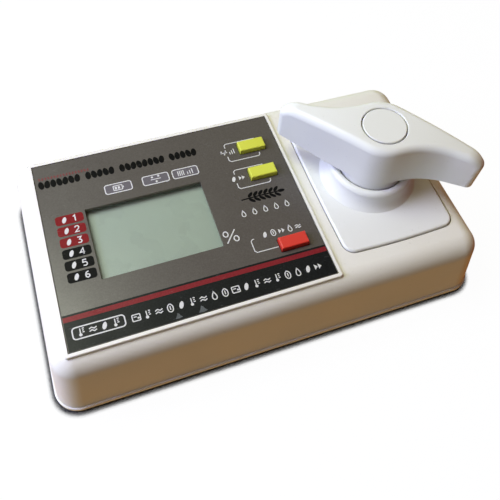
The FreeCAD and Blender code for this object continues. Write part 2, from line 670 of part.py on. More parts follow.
def contact_leaf(x, wall_y, inward):
    """Sprung sheet contact: a flat plate on the wall with a bowed leaf."""
    face_y = wall_y + CONTACT_T * inward
    plate = box((x - CONTACT_HALF_X, x + CONTACT_HALF_X), sorted((wall_y, face_y)), CONTACT_Z)
    root_y = (wall_y + face_y) / 2
    low = V(x - LEAF_HALF_X, root_y, LEAF_Z[0])
    high = V(x - LEAF_HALF_X, root_y, LEAF_Z[1])
    crest = V(x - LEAF_HALF_X, wall_y + LEAF_CREST * inward, CELL_Z)
    outer = Part.Arc(low, crest, high).toShape()
    inner_crest = crest - V(0, CONTACT_T * inward, 0)
    inset = V(0, 0, 0.7)
    inner = Part.Arc(high - inset, inner_crest, low + inset).toShape()
    caps = [Part.LineSegment(high, high - inset).toShape(),
            Part.LineSegment(low + inset, low).toShape()]
    section = Part.Face(Part.Wire([outer, caps[0], inner, caps[1]]))
    leaf = section.extrude(V(2 * LEAF_HALF_X, 0, 0))
    return join([plate, leaf])


def battery_contacts(wall_y, inward, bridges):
    """Contacts of one wall; a bridge joins a cell's contact to the next one's."""
    pieces = [contact_leaf(cell_x(i), wall_y, inward) for i in range(CELL_COUNT)]
    for i in bridges:
        span = (cell_x(i) + CONTACT_HALF_X - 0.1, cell_x(i + 1) - CONTACT_HALF_X + 0.1)
        pieces.append(box(span, sorted((wall_y, wall_y + CONTACT_T * inward)), BRIDGE_Z))
    return join(pieces)


def front_contacts():
    """The front wall's contacts, with a solder tag on each of the two outer ones."""
    wall_y = BATTERY_Y[0]
    pieces = [battery_contacts(wall_y, 1, [1])]
    for i in (0, CELL_COUNT - 1):
        span = (cell_x(i) - TAG_HALF_X, cell_x(i) + TAG_HALF_X)
        pieces.append(box(span, (wall_y - TAG_REACH, wall_y + CONTACT_T), TAG_Z))
        pieces.append(box(span, (wall_y, wall_y + CONTACT_T), (CONTACT_Z[1] - 0.5, TAG_Z[1])))
    return join(pieces)


def back_contacts():
    return battery_contacts(BATTERY_Y[1], -1, [0, 2])


def battery_wire(index):
    x = cell_x(index)
    y = BATTERY_Y[0] - TAG_REACH - 0.2
    z = sum(TAG_Z) / 2
    return wire_run([(x, y, z), (x, y - 5.0, z), (x, y - 5.0, BOARD_Z[0])], WIRE_R, 2.4)


# ---- sample press ----------------------------------------------------------------
def at_press(x, y, z):
    """Box measured from the press axis."""
    return box((PRESS_X + x[0], PRESS_X + x[1]), (PRESS_Y + y[0], PRESS_Y + y[1]), z)


def press_frame():
    """Cast ring frame: the base takes the lower electrode, the bridge takes the nut."""
    frame = rounded_block(PRESS_X, PRESS_Y, 2 * FRAME_HALF_X, 2 * FRAME_HALF_Y, FRAME_Z,
                          FRAME_CORNER_R)
    past = FRAME_HALF_X + 8
    tools = [at_press((-past, past), (-FRAME_WINDOW_HALF_Y, FRAME_WINDOW_HALF_Y), FRAME_WINDOW_Z)]
    nut_hole_z = (FRAME_WINDOW_Z[1] - 1, FRAME_Z[1] + 1)
    tools.append(post(PRESS_X, PRESS_Y, nut_hole_z, NUT_R + RUNNING_GAP))
    pocket_low_z = LOWER_STUD_Z - 0.1
    tools.append(post(PRESS_X, PRESS_Y, (pocket_low_z, FRAME_WINDOW_Z[0] + 1), INSULATOR_R + 0.1))
    groove_y = TERMINAL_HALF_Y + 0.15
    tools.append(at_press((-past, 0), (-groove_y, groove_y), (pocket_low_z, TERMINAL_Z[1] + 0.4)))
    rod_hole_z = (ROD_Z[0] - 0.1, ROD_Z[1] + 0.1)
    for side in (-1, 1):
        tools.append(post(PRESS_X, PRESS_Y + side * ROD_Y, rod_hole_z, ROD_R + RUNNING_GAP))
    screw_hole_z = (FRAME_Z[0] - 1, PRESS_SCREW_Z[2] + 1)
    tools += [post(x, y, screw_hole_z, PRESS_SCREW[2]) for x, y in press_screw_places()]
    sensor_start = (PRESS_X - FRAME_HALF_X - 1, PRESS_Y + SENSOR_Y, SENSOR_Z)
    tools.append(rod(sensor_start, (1, 0, 0), SENSOR_LENGTH - 0.5, SENSOR_R + 0.1))
    return frame.cut(group(tools))


def press_screws():
    head_z = PRESS_SCREW_Z[:2]
    return group([screw(x, y, head_z, PRESS_SCREW[0], PRESS_SCREW_Z[2], PRESS_SCREW[1])
                  for x, y in press_screw_places()])


def press_cover():
    """Cover plate with a collar that the handle's skirt drops into."""
    plate = cover_block(0.0, (COVER_LOW_Z, PANEL_PLANE_Z))
    rim = [e for e in plate.Edges if e.BoundBox.ZMin > PANEL_PLANE_Z - 0.01]
    plate = plate.makeFillet(COVER_EDGE_R, rim)
    plate = plate.cut(post(PRESS_X, PRESS_Y, (COVER_LOW_Z - 1, PANEL_PLANE_Z + 1), COLLAR_BORE_R))
    foot_r = COLLAR_FLARE[1][0]
    profile = [(COLLAR_BORE_R, COVER_LOW_Z), COLLAR_LIP[0], COLLAR_LIP[1:], COLLAR_FLARE,
               (foot_r, COVER_LOW_Z)]
    collar = revolve(profile, PRESS_X, PRESS_Y)
    floor = ring(PRESS_X, PRESS_Y, (COVER_LOW_Z, COLLAR_FLOOR_TOP_Z), COLLAR_FLOOR_R,
                 COLLAR_BORE_R + 1)
    cover = join([plate, collar, floor])
    hole_z = (COVER_LOW_Z - 1, COVER_SCREW_Z[1] + 0.2)
    holes = [post(x, y, hole_z, COVER_SCREW[2]) for x, y in cover_screw_places()]
    return cover.cut(group(holes))


def cover_screws():
    head_z = (COVER_SCREW_Z[0], DECK_LOW_Z)
    return group([screw(x, y, head_z, COVER_SCREW[0], COVER_SCREW_Z[1], COVER_SCREW[1])
                  for x, y in cover_screw_places()])


def spindle_nut():
    flange = post(PRESS_X, PRESS_Y, (NUT_Z[0], FRAME_WINDOW_Z[1]), NUT_FLANGE_R)
    body = join([flange, post(PRESS_X, PRESS_Y, NUT_Z, NUT_R)])
    bore_z = (NUT_Z[0] - 1, NUT_Z[1] + 1)
    return body.cut(post(PRESS_X, PRESS_Y, bore_z, SPINDLE_R + RUNNING_GAP))


def guide_rod(side):
    return post(PRESS_X, PRESS_Y + side * ROD_Y, ROD_Z, ROD_R)


def lower_insulator():
    floor_z = LOWER_ELECTRODE_Z[0]
    cup = post(PRESS_X, PRESS_Y, (INSULATOR_LOW_Z, FRAME_WINDOW_Z[0]), INSULATOR_R)
    cup = cup.cut(post(PRESS_X, PRESS_Y, (floor_z, FRAME_WINDOW_Z[0] + 1), LOWER_ELECTRODE_R + 0.1))
    return cup.cut(post(PRESS_X, PRESS_Y, (INSULATOR_LOW_Z - 1, floor_z + 1), LOWER_STUD_R + 0.2))


def lower_electrode():
    disc = post(PRESS_X, PRESS_Y, LOWER_ELECTRODE_Z, LOWER_ELECTRODE_R)
    stud_z = (LOWER_STUD_Z, LOWER_ELECTRODE_Z[0] + 0.1)
    return join([disc, post(PRESS_X, PRESS_Y, stud_z, LOWER_STUD_R)])


def electrode_terminal():
    strip = at_press(TERMINAL_X, (-TERMINAL_HALF_Y, TERMINAL_HALF_Y), TERMINAL_Z)
    return strip.cut(post(PRESS_X, PRESS_Y, (5, 7), LOWER_STUD_R + 0.1))


def electrode_wire():
    """Wire from the terminal, up beside the frame, to the underside of the board."""
    start_x = PRESS_X + TERMINAL_X[0] - 0.2
    low_z = sum(TERMINAL_Z) / 2
    riser_x = 28.2
    high_z = 18.0
    board_x = 23.0
    return wire_run([(start_x, PRESS_Y, low_z), (riser_x, PRESS_Y, low_z),
                     (riser_x, PRESS_Y, high_z), (board_x, PRESS_Y, high_z),
                     (board_x, PRESS_Y, BOARD_Z[0])], WIRE_R, 1.8)


def temperature_sensor():
    start = (PRESS_X - FRAME_HALF_X - 2.0, PRESS_Y + SENSOR_Y, SENSOR_Z)
    can = rod(start, (1, 0, 0), SENSOR_LENGTH, SENSOR_R)
    tip = [e for e in can.Edges if e.BoundBox.XMin > start[0] + SENSOR_LENGTH - 0.1]
    return can.makeFillet(1.0, tip)


# ---- plunger: slides with the spindle but doesn't turn ----------------------------
def plunger_screw_places():
    angles = [math.radians(a) for a in PLUNGER_SCREW_ANGLES]
    return [(PRESS_X + PLUNGER_SCREWS_R * math.cos(a), PRESS_Y + PLUNGER_SCREWS_R * math.sin(a))
            for a in angles]


def upper_electrode():
    disc = post(PRESS_X, PRESS_Y, PLUNGER_Z[:2], ELECTRODE_R)
    low = [e for e in disc.Edges if e.BoundBox.ZMax < PLUNGER_Z[0] + 0.01]
    disc = disc.makeFillet(0.3, low)
    hole_z = (PLUNGER_SCREW_Z[2] - 0.1, PLUNGER_Z[1] + 1)
    holes = [post(x, y, hole_z, PLUNGER_SCREW[2]) for x, y in plunger_screw_places()]
    return disc.cut(group(holes))


def plunger_block():
    """Insulating cross-piece whose ears run on the two guide rods."""
    length, width, corner_r = PLUNGER_BAR
    bar = rounded_block(PRESS_X, PRESS_Y, length, width, PLUNGER_Z[1:3], corner_r)
    body = join([bar, post(PRESS_X, PRESS_Y, PLUNGER_Z[1:3], PLUNGER_BLOCK_R)])
    through_z = (PLUNGER_Z[1] - 1, PLUNGER_Z[2] + 1)
    tools = [post(PRESS_X, PRESS_Y, (PLUNGER_POCKET[1], PLUNGER_Z[2] + 1), PLUNGER_POCKET[0])]
    tools += [post(PRESS_X, PRESS_Y + s * ROD_Y, through_z, ROD_R + 0.1) for s in (-1, 1)]
    tools += [post(x, y, through_z, PLUNGER_SCREW_ROOM[1]) for x, y in plunger_screw_places()]
    return body.cut(group(tools))


def plunger_cap():
    """Ring that holds the spindle's clip down in the plunger block."""
    plate = post(PRESS_X, PRESS_Y, PLUNGER_Z[2:], PLUNGER_CAP_R)
    through_z = (PLUNGER_Z[2] - 1, PLUNGER_Z[3] + 1)
    tools = [post(PRESS_X, PRESS_Y, through_z, NECK_R + RUNNING_GAP)]
    for x, y in plunger_screw_places():
        tools.append(post(x, y, through_z, PLUNGER_SCREW_ROOM[1]))
        tools.append(post(x, y, (PLUNGER_SCREW_Z[0], through_z[1]), PLUNGER_SCREW_ROOM[0]))
    return plate.cut(group(tools))


def plunger_screws():
    head_z = PLUNGER_SCREW_Z[:2]
    return group([screw(x, y, head_z, PLUNGER_SCREW[0], PLUNGER_SCREW_Z[2], PLUNGER_SCREW[1])
                  for x, y in plunger_screw_places()])


# ---- spindle and handle ----------------------------------------------------------
def spindle():
    """Press screw, drawn at its major diameter, with a neck that lifts the plunger."""
    shoulder_z = PLUNGER_Z[3] + RUNNING_GAP
    body = post(PRESS_X, PRESS_Y, (shoulder_z, HUB_FLOOR_Z), SPINDLE_R)
    foot = [e for e in body.Edges if e.BoundBox.ZMax < shoulder_z + 0.01]
    body = body.makeChamfer(0.4, foot)
    neck = post(PRESS_X, PRESS_Y, (NECK_LOW_Z, shoulder_z + 1), NECK_R)
    drive_z = (HUB_FLOOR_Z - 1, HUB_SEAT_Z - 0.2)
    drive = post(0, 0, drive_z, DRIVE_R).common(block(0, 0, 2 * DRIVE_R + 2, DRIVE_FLATS, drive_z))
    body = join([body, neck, place_handle(drive)])
    groove_z = (CLIP_Z[0] - RUNNING_GAP, CLIP_Z[1] + RUNNING_GAP)
    groove = ring(PRESS_X, PRESS_Y, groove_z, CLIP_R[0] - RUNNING_GAP, NECK_R + 1)
    screw_hole = post(PRESS_X, PRESS_Y, (HANDLE_SCREW_Z[1] - 1, HUB_SEAT_Z + 1), HANDLE_SCREW[2])
    return body.cut(group([groove, screw_hole]))


def spindle_clip():
    """Open ring pushed on from one side."""
    clip = ring(PRESS_X, PRESS_Y, CLIP_Z, CLIP_R[0], CLIP_R[1])
    return clip.cut(at_press((0, CLIP_R[1] + 1), (-2.4, 2.4), (CLIP_Z[0] - 1, CLIP_Z[1] + 1)))


def meeting_point(start, start_deg, end, end_deg):
    """Where a line leaving start meets the line through end, both given by direction."""
    a = math.radians(start_deg)
    b = math.radians(end_deg)
    across = (end[0] - start[0]) * math.sin(b) - (end[1] - start[1]) * math.cos(b)
    length = across / (math.cos(a) * math.sin(b) - math.sin(a) * math.cos(b))
    return (start[0] + length * math.cos(a), start[1] + length * math.sin(a))


def handle_outline(z):
    """Two wings, each with one straight side tangent to the hub and one hollow side."""
    root = (HUB_R * math.tan(math.radians(WING_FLARE_DEG / 2)), -HUB_R)
    end = (WING_LENGTH, WING_END_T)
    hollow = meeting_point(root, WING_FLARE_DEG, end, WING_TAPER_DEG)
    wing = [root + (HUB_R,), hollow + (WING_HOLLOW_R,), end + (WING_CORNERS_R[0],),
            (WING_LENGTH, HUB_R, WING_CORNERS_R[1])]
    other = [(-x, -y, radius) for x, y, radius in wing]
    return rounded_polygon(wing + other, z)


def wing_slab(top_z, low_z):
    """Slab seen along the handle: a crowned top that rolls over at both ends, and an
    underside that rises from the hub to the ends."""
    round_r, round_length = WING_END_ROUND
    tangent_x = WING_LENGTH - round_length
    lean = math.asin(tangent_x / CROWN_R)
    tangent_z = top_z - CROWN_R * (1 - math.cos(lean))
    centre = V(tangent_x - round_r * math.sin(lean), -50, tangent_z - round_r * math.cos(lean))

    def on_round(x):
        return V(x, -50, centre.z + math.sqrt(round_r ** 2 - (x - centre.x) ** 2))

    def mirrored(point):
        return V(-point.x, point.y, point.z)

    end_x = WING_LENGTH + 0.5
    top = V(0, -50, top_z)
    tangent = V(tangent_x, -50, tangent_z)
    half_way = on_round((tangent_x + end_x) / 2)
    end = on_round(end_x)
    low_end = V(end_x, -50, low_z + WING_RISE)
    low_hub = V(HUB_R, -50, low_z)
    edges = [Part.LineSegment(mirrored(low_hub), low_hub).toShape(),
             Part.LineSegment(low_hub, low_end).toShape(),
             Part.LineSegment(low_end, end).toShape(),
             Part.Arc(end, half_way, tangent).toShape(),
             Part.Arc(tangent, top, mirrored(tangent)).toShape(),
             Part.Arc(mirrored(tangent), mirrored(half_way), mirrored(end)).toShape(),
             Part.LineSegment(mirrored(end), mirrored(low_end)).toShape(),
             Part.LineSegment(mirrored(low_end), mirrored(low_hub)).toShape()]
    return Part.Face(Part.Wire(edges)).extrude(V(0, 100, 0))


def handle_hollows():
    """Cored-out underside of both wings, with cross ribs left standing."""
    inner = Part.Face(handle_outline(WING_LOW_Z - 2)).makeOffset2D(-HANDLE_WALL)
    room = wing_slab(OVERALL_HEIGHT - HANDLE_TOP_T, WING_LOW_Z - 3)
    cores = inner.extrude(V(0, 0, OVERALL_HEIGHT - WING_LOW_Z)).common(room)
    cores = cores.cut(post(0, 0, (HUB_FLOOR_Z, OVERALL_HEIGHT), HUB_R))
    ribs = []
    for side in (-1, 1):
        for x in RIB_X:
            ribs.append(block(side * x, side * 5.0, RIB_T, 24.0, (RIB_LOW_Z, OVERALL_HEIGHT)))
    return cores.cut(group(ribs))


def handle():
    """Two hollow wings on a hub, with a skirt that drops into the cover's collar."""
    wings = prism(handle_outline(WING_LOW_Z - 1), OVERALL_HEIGHT + 1)
    wings = wings.common(wing_slab(OVERALL_HEIGHT, WING_LOW_Z))
    facing_up = [face for face in wings.Faces if face.normalAt(0, 0).z > 0.3]
    rim = []
    for face in facing_up:
        for edge in face.OuterWire.Edges:
            shared = [other for other in facing_up
                      if other is not face and any(edge.isSame(e) for e in other.OuterWire.Edges)]
            if not shared:
                rim.append(edge)
    wings = wings.makeFillet(HANDLE_EDGE_R, rim)
    skirt = post(0, 0, (SKIRT_LOW_Z, WING_LOW_Z + 1), HUB_R)
    body = join([wings, skirt])
    tools = [handle_hollows(), post(0, 0, (SKIRT_LOW_Z - 1, HUB_FLOOR_Z), SKIRT_BORE_R)]
    bore_z = (HUB_FLOOR_Z - 1, HUB_SEAT_Z + 1)
    flats = block(0, 0, 2 * DRIVE_R + 2, DRIVE_FLATS + 2 * RUNNING_GAP, bore_z)
    tools.append(post(0, 0, bore_z, DRIVE_R + RUNNING_GAP).common(flats))
    tools.append(post(0, 0, (HUB_SEAT_Z, CAP_LOW_Z + 1), HUB_BORE_R))
    seat_r = CAP_R + CAP_GAP
    tools.append(post(0, 0, (CAP_LOW_Z, OVERALL_HEIGHT + 1), seat_r))
    flare_r = seat_r + 2 * CAP_CHAMFER
    tools.append(Part.makeCone(seat_r, flare_r, flare_r - seat_r,
                               V(0, 0, OVERALL_HEIGHT - CAP_CHAMFER)))
    for tool in tools:
        body = body.cut(tool)
    return place_handle(body)


def place_handle(shape):
    """Turn a shape drawn along the handle to its stored angle, on the press axis."""
    shape.rotate(V(0, 0, 0), V(0, 0, 1), HANDLE_TURN_DEG)
    shape.translate(V(PRESS_X, PRESS_Y, 0))
    return shape


def handle_cap():
    """Flush disc with a ring that plugs the hub."""
    disc = post(PRESS_X, PRESS_Y, (CAP_LOW_Z, OVERALL_HEIGHT), CAP_R)
    top = [e for e in disc.Edges if e.BoundBox.ZMin > OVERALL_HEIGHT - 0.01]
    disc = disc.makeFillet(CAP_CHAMFER, top)
    inner_r, outer_r, low_z = CAP_RING
    return join([disc, ring(PRESS_X, PRESS_Y, (low_z, CAP_LOW_Z + 0.5), inner_r, outer_r)])


def handle_screw():
    top_z, tip_z = HANDLE_SCREW_Z
    return screw(PRESS_X, PRESS_Y, (HUB_SEAT_Z, top_z), HANDLE_SCREW[0], tip_z, HANDLE_SCREW[1],
                 slot=3.0)


# ---- sample tray -----------------------------------------------------------------
def tray_guide(side):
    """L-section rail beside the tray."""
    wall = sorted((side * GUIDE_Y[1], side * GUIDE_Y[2]))
    ledge = sorted((side * GUIDE_Y[0], side * GUIDE_Y[2]))
    return join([at_press(GUIDE_X, wall, (GUIDE_Z[0], GUIDE_Z[2])),
                 at_press(GUIDE_X, ledge, (GUIDE_Z[0], GUIDE_Z[1]))])


def sample_tray():
    """Flat slide with a seat for the dish and a pull ridge on its end plate."""
    slide = box(TRAY_X, (PRESS_Y - TRAY_HALF_Y, PRESS_Y + TRAY_HALF_Y), TRAY_Z)
    low_z, high_z = TRAY_FACE_Z
    lean = DRAFT * (high_z - low_z)
    outer_x = UPPER_LENGTH / 2 - DRAFT * (low_z - FLOOR_TOP_Z) - 0.05
    inner_x = TRAY_X[1] - 0.5
    section = [V(inner_x, 0, low_z), V(outer_x, 0, low_z),
               V(outer_x - lean, 0, high_z), V(inner_x, 0, high_z)]
    face = Part.Face(Part.makePolygon(section + section[:1]))
    plate = face.extrude(V(0, 2 * TRAY_FACE_HALF_Y, 0))
    plate.translate(V(0, PRESS_Y - TRAY_FACE_HALF_Y, 0))
    ridge = box((TRAY_RIDGE_X, CASE_LENGTH / 2 - 0.3),
                (PRESS_Y - TRAY_RIDGE_HALF_Y, PRESS_Y + TRAY_RIDGE_HALF_Y), TRAY_RIDGE_Z)
    ends = [e for e in ridge.Edges
            if e.BoundBox.ZLength > 1 and e.BoundBox.XMin > TRAY_RIDGE_X + 1]
    ridge = ridge.makeFillet(1.2, ends)
    tray = join([slide, plate, ridge])
    top_z = TRAY_Z[1] + 1
    tray = tray.cut(post(PRESS_X, PRESS_Y, (TRAY_Z[0] + DISH_SEAT, top_z), DISH_R + RUNNING_GAP))
    return tray.cut(post(PRESS_X, PRESS_Y, (TRAY_Z[0] - 1, top_z), DISH_R - DISH_WALL - 0.2))


def sample_dish():
    """Shallow metal cup that holds the grain between the electrodes."""
    seat_z = TRAY_Z[0] + DISH_SEAT
    outer = post(PRESS_X, PRESS_Y, (seat_z, TRAY_Z[1] - 0.1), DISH_R)
    floor = post(PRESS_X, PRESS_Y, (TRAY_Z[0] + 0.1, seat_z + 0.1), DISH_R - DISH_WALL - 0.3)
    cup = join([outer, floor])
    return cup.cut(post(PRESS_X, PRESS_Y, (seat_z + 0.4, TRAY_Z[1] + 1), DISH_R - DISH_WALL))


# ---- write every node ------------------------------------------------------------
def nodes():
    parts = {
        "upper_case": upper_case(),
        "lower_case": lower_case(),
        "battery_door": battery_door(),
        "rubber_feet": rubber_feet(),
        "case_screws": case_screws(),
        "panel_plate": panel_plate(),
        "display_window": display_window(),
        "lcd_glass": lcd_glass(),
        "lcd_frame": lcd_frame(),
        "lcd_contact_strips": lcd_contact_strips(),
        "main_board": main_board(),
        "processor_chip": legged_chip(-4.0, 0.0, 14.0, 14.0, 2.4, 10),
        "amplifier_chip": legged_chip(-4.0, -20.0, 10.0, 6.4, 3.6, 4),
        "board_capacitors": board_capacitors(),
        "board_crystal": board_crystal(),
        "wire_connector": wire_connector(),
        "board_screws": board_screws(),
        "battery_box": battery_box(),
        "battery_contacts_front": front_contacts(),
        "battery_contacts_back": back_contacts(),
        "battery_wire_red": battery_wire(CELL_COUNT - 1),
        "battery_wire_black": battery_wire(0),
        "press_frame": press_frame(),
        "press_screws": press_screws(),
        "press_cover": press_cover(),
        "cover_screws": cover_screws(),
        "spindle_nut": spindle_nut(),
        "guide_rod_front": guide_rod(-1),
        "guide_rod_back": guide_rod(1),
        "lower_insulator": lower_insulator(),
        "lower_electrode": lower_electrode(),
        "electrode_terminal": electrode_terminal(),
        "electrode_wire": electrode_wire(),
        "temperature_sensor": temperature_sensor(),
        "upper_electrode": upper_electrode(),
        "plunger_block": plunger_block(),
        "plunger_cap": plunger_cap(),
        "plunger_screws": plunger_screws(),
        "spindle": spindle(),
        "spindle_clip": spindle_clip(),
        "handle": handle(),
        "handle_cap": handle_cap(),
        "handle_screw": handle_screw(),
        "tray_guide_front": tray_guide(-1),
        "tray_guide_back": tray_guide(1),
        "sample_tray": sample_tray(),
        "sample_dish": sample_dish(),
    }
    for name, y in BUTTON_Y.items():
        parts[name + "_button"] = button_cap(y)
        parts[name + "_switch"] = switch_body(y)
        parts[name + "_switch_stem"] = switch_stem(y)
    for i in range(CELL_COUNT):
        parts["battery_cell_%d" % (i + 1)] = battery_cell(i)
    return parts


def main():
    os.makedirs("parts", exist_ok=True)
    for node, shape in nodes().items():
        print("%-24s solids %d  valid %s  volume %.0f" % (
            node, len(shape.Solids), shape.isValid(), shape.Volume))
        shape.exportStep("parts/" + node + ".step")


main()
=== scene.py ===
import json
import math
import bpy
import bmesh
from mathutils import Matrix, Vector


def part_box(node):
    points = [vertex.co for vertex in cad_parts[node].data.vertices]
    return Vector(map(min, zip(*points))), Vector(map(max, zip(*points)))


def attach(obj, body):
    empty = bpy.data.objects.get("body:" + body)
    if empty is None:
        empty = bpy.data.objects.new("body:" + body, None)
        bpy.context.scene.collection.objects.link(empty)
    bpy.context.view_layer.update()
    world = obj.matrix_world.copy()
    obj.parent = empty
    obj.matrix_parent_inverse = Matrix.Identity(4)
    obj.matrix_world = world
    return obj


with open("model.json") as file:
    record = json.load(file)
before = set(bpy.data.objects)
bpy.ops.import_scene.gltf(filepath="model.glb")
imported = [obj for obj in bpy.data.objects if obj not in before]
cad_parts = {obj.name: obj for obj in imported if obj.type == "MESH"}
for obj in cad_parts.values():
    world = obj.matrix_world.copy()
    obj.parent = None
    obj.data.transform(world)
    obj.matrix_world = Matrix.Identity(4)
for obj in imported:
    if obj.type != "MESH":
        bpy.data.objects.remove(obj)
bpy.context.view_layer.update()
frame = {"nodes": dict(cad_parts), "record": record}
nodes = frame["nodes"]
MM = 0.001

CAMERA_PLACE_MM = (-58.007, -128.458, 244.654)
CAMERA_YAW_PITCH_ROLL = (25.996, 57.606, 7.490)
CAMERA_LENS = 42.35
CAMERA_SENSOR = 36.0
CAMERA_SHIFT = (-0.00923, -0.06273)
LAMP_SIZE = 0.35
LAMP_TARGET = (0.0, 0.0, 0.03)
FLOOR_HALF = 3.0
CONTACT_MM = 3.2          # painted contact shadow: the floor darkens this close to whatever stands on it
CREASE_MM = 0.8           # painted shade darkens creases this narrow


# ---- camera and light --------------------------------------------------------------
def add_camera():
    """Camera above the front left of the meter, slightly rolled."""
    yaw, pitch, roll = (math.radians(a) for a in CAMERA_YAW_PITCH_ROLL)
    level = math.cos(pitch)
    forward = Vector((math.sin(yaw) * level, math.cos(yaw) * level, -math.sin(pitch)))
    right = Vector((math.cos(yaw), -math.sin(yaw), 0.0))
    down = forward.cross(right)
    turned_right = right * math.cos(roll) - down * math.sin(roll)
    turned_down = right * math.sin(roll) + down * math.cos(roll)
    data = bpy.data.cameras.new("camera")
    data.sensor_width = CAMERA_SENSOR
    data.lens = CAMERA_LENS
    data.shift_x, data.shift_y = CAMERA_SHIFT
    camera = bpy.data.objects.new("camera", data)
    rotation = Matrix((turned_right, -turned_down, -forward)).transposed()
    place = Matrix.Translation(Vector(CAMERA_PLACE_MM) * MM)
    camera.matrix_world = place @ rotation.to_4x4()
    bpy.context.scene.collection.objects.link(camera)
    bpy.context.scene.camera = camera


def area_light(name, place, watts, colour, mirrored=True):
    """A soft round light aimed at the middle of the meter; mirrored ones show in gloss."""
    data = bpy.data.lights.new(name, "AREA")
    data.shape = "DISK"
    data.size = LAMP_SIZE
    data.energy = watts
    data.color = colour
    light = bpy.data.objects.new(name, data)
    light.location = place
    light.visible_glossy = mirrored
    towards = Vector(LAMP_TARGET) - Vector(place)
    light.rotation_euler = towards.to_track_quat("-Z", "Y").to_euler()
    bpy.context.scene.collection.objects.link(light)


# Soft studio light as broad lobes: direction, colour at the middle of the lobe.
WORLD_LOBES = [
    ((0.0, 0.0, -1.0), (0.95, 0.45, 0.08)),
    ((-1.0, 0.0, 0.2), (0.725, 0.84, 0.64)),
    ((0.0, 0.0, 1.0), (0.12, 0.03, 0.0)),
    ((1.0, 0.0, 0.2), (0.185, 0.0, 0.0)),
    ((0.0, 1.0, 0.2), (0.448, 0.573, 0.332)),
]


def world_maths(tree, operation, value, constant):
    node = tree.nodes.new("ShaderNodeMath")
    node.operation = operation
    node.inputs[1].default_value = constant
    tree.links.new(value, node.inputs[0])
    return node.outputs[0]


def add_world():
    """White room as the camera sees it, and the soft lobes as the meter sees it."""
    world = bpy.data.worlds.new("studio")
    bpy.context.scene.world = world
    world.use_nodes = True
    tree = world.node_tree
    tree.nodes.clear()
    coords = tree.nodes.new("ShaderNodeTexCoord")
    total = None
    for axis, colour in WORLD_LOBES:
        facing = tree.nodes.new("ShaderNodeVectorMath")
        facing.operation = "DOT_PRODUCT"
        facing.inputs[1].default_value = Vector(axis).normalized()
        tree.links.new(coords.outputs["Generated"], facing.inputs[0])
        positive = world_maths(tree, "MAXIMUM", facing.outputs["Value"], 0.0)
        squared = world_maths(tree, "POWER", positive, 2.0)
        lobe = tree.nodes.new("ShaderNodeBackground")
        lobe.inputs["Color"].default_value = (*colour, 1.0)
        tree.links.new(squared, lobe.inputs["Strength"])
        if total is None:
            total = lobe.outputs[0]
        else:
            added = tree.nodes.new("ShaderNodeAddShader")
            tree.links.new(total, added.inputs[0])
            tree.links.new(lobe.outputs[0], added.inputs[1])
            total = added.outputs[0]
    seen = tree.nodes.new("ShaderNodeBackground")
    seen.inputs["Color"].default_value = (0.97, 0.97, 0.97, 1.0)
    path = tree.nodes.new("ShaderNodeLightPath")
    mix = tree.nodes.new("ShaderNodeMixShader")
    tree.links.new(path.outputs["Is Camera Ray"], mix.inputs["Fac"])
    tree.links.new(total, mix.inputs[1])
    tree.links.new(seen.outputs[0], mix.inputs[2])
    output = tree.nodes.new("ShaderNodeOutputWorld")
    tree.links.new(mix.outputs[0], output.inputs["Surface"])


def add_floor():
    """Plain pale floor that doesn't light the meter, with a painted contact shadow: a thin dark line
    where it stands.
    """
    half = FLOOR_HALF
    corners = [(-half, -half, 0), (half, -half, 0), (half, half, 0), (-half, half, 0)]
    mesh = bpy.data.meshes.new("floor")
    mesh.from_pydata(corners, [], [(0, 1, 2, 3)])
    floor = bpy.data.objects.new("floor", mesh)
    bpy.context.scene.collection.objects.link(floor)
    paint = Paint("floor")
    # Painted contact shadow: ambient occlusion dims the floor's glow next to the meter.
    near = paint.add("AmbientOcclusion", samples=8)
    near.inputs["Distance"].default_value = CONTACT_MM * MM
    shade = paint.remap(near.outputs["AO"], 0.74, 0.96, 0.0, 0.97)
    paint.shader.inputs["Roughness"].default_value = 0.8
    paint.shader.inputs["Specular IOR Level"].default_value = 0.0
    paint.feed(paint.shader.inputs["Base Color"], (0.035, 0.036, 0.04))
    paint.feed(paint.shader.inputs["Emission Color"], (1.0, 1.0, 1.0))
    paint.feed(paint.shader.inputs["Emission Strength"], shade)
    mesh.materials.append(paint.material)
    floor.visible_diffuse = False
    floor.visible_glossy = False
    floor.visible_shadow = False


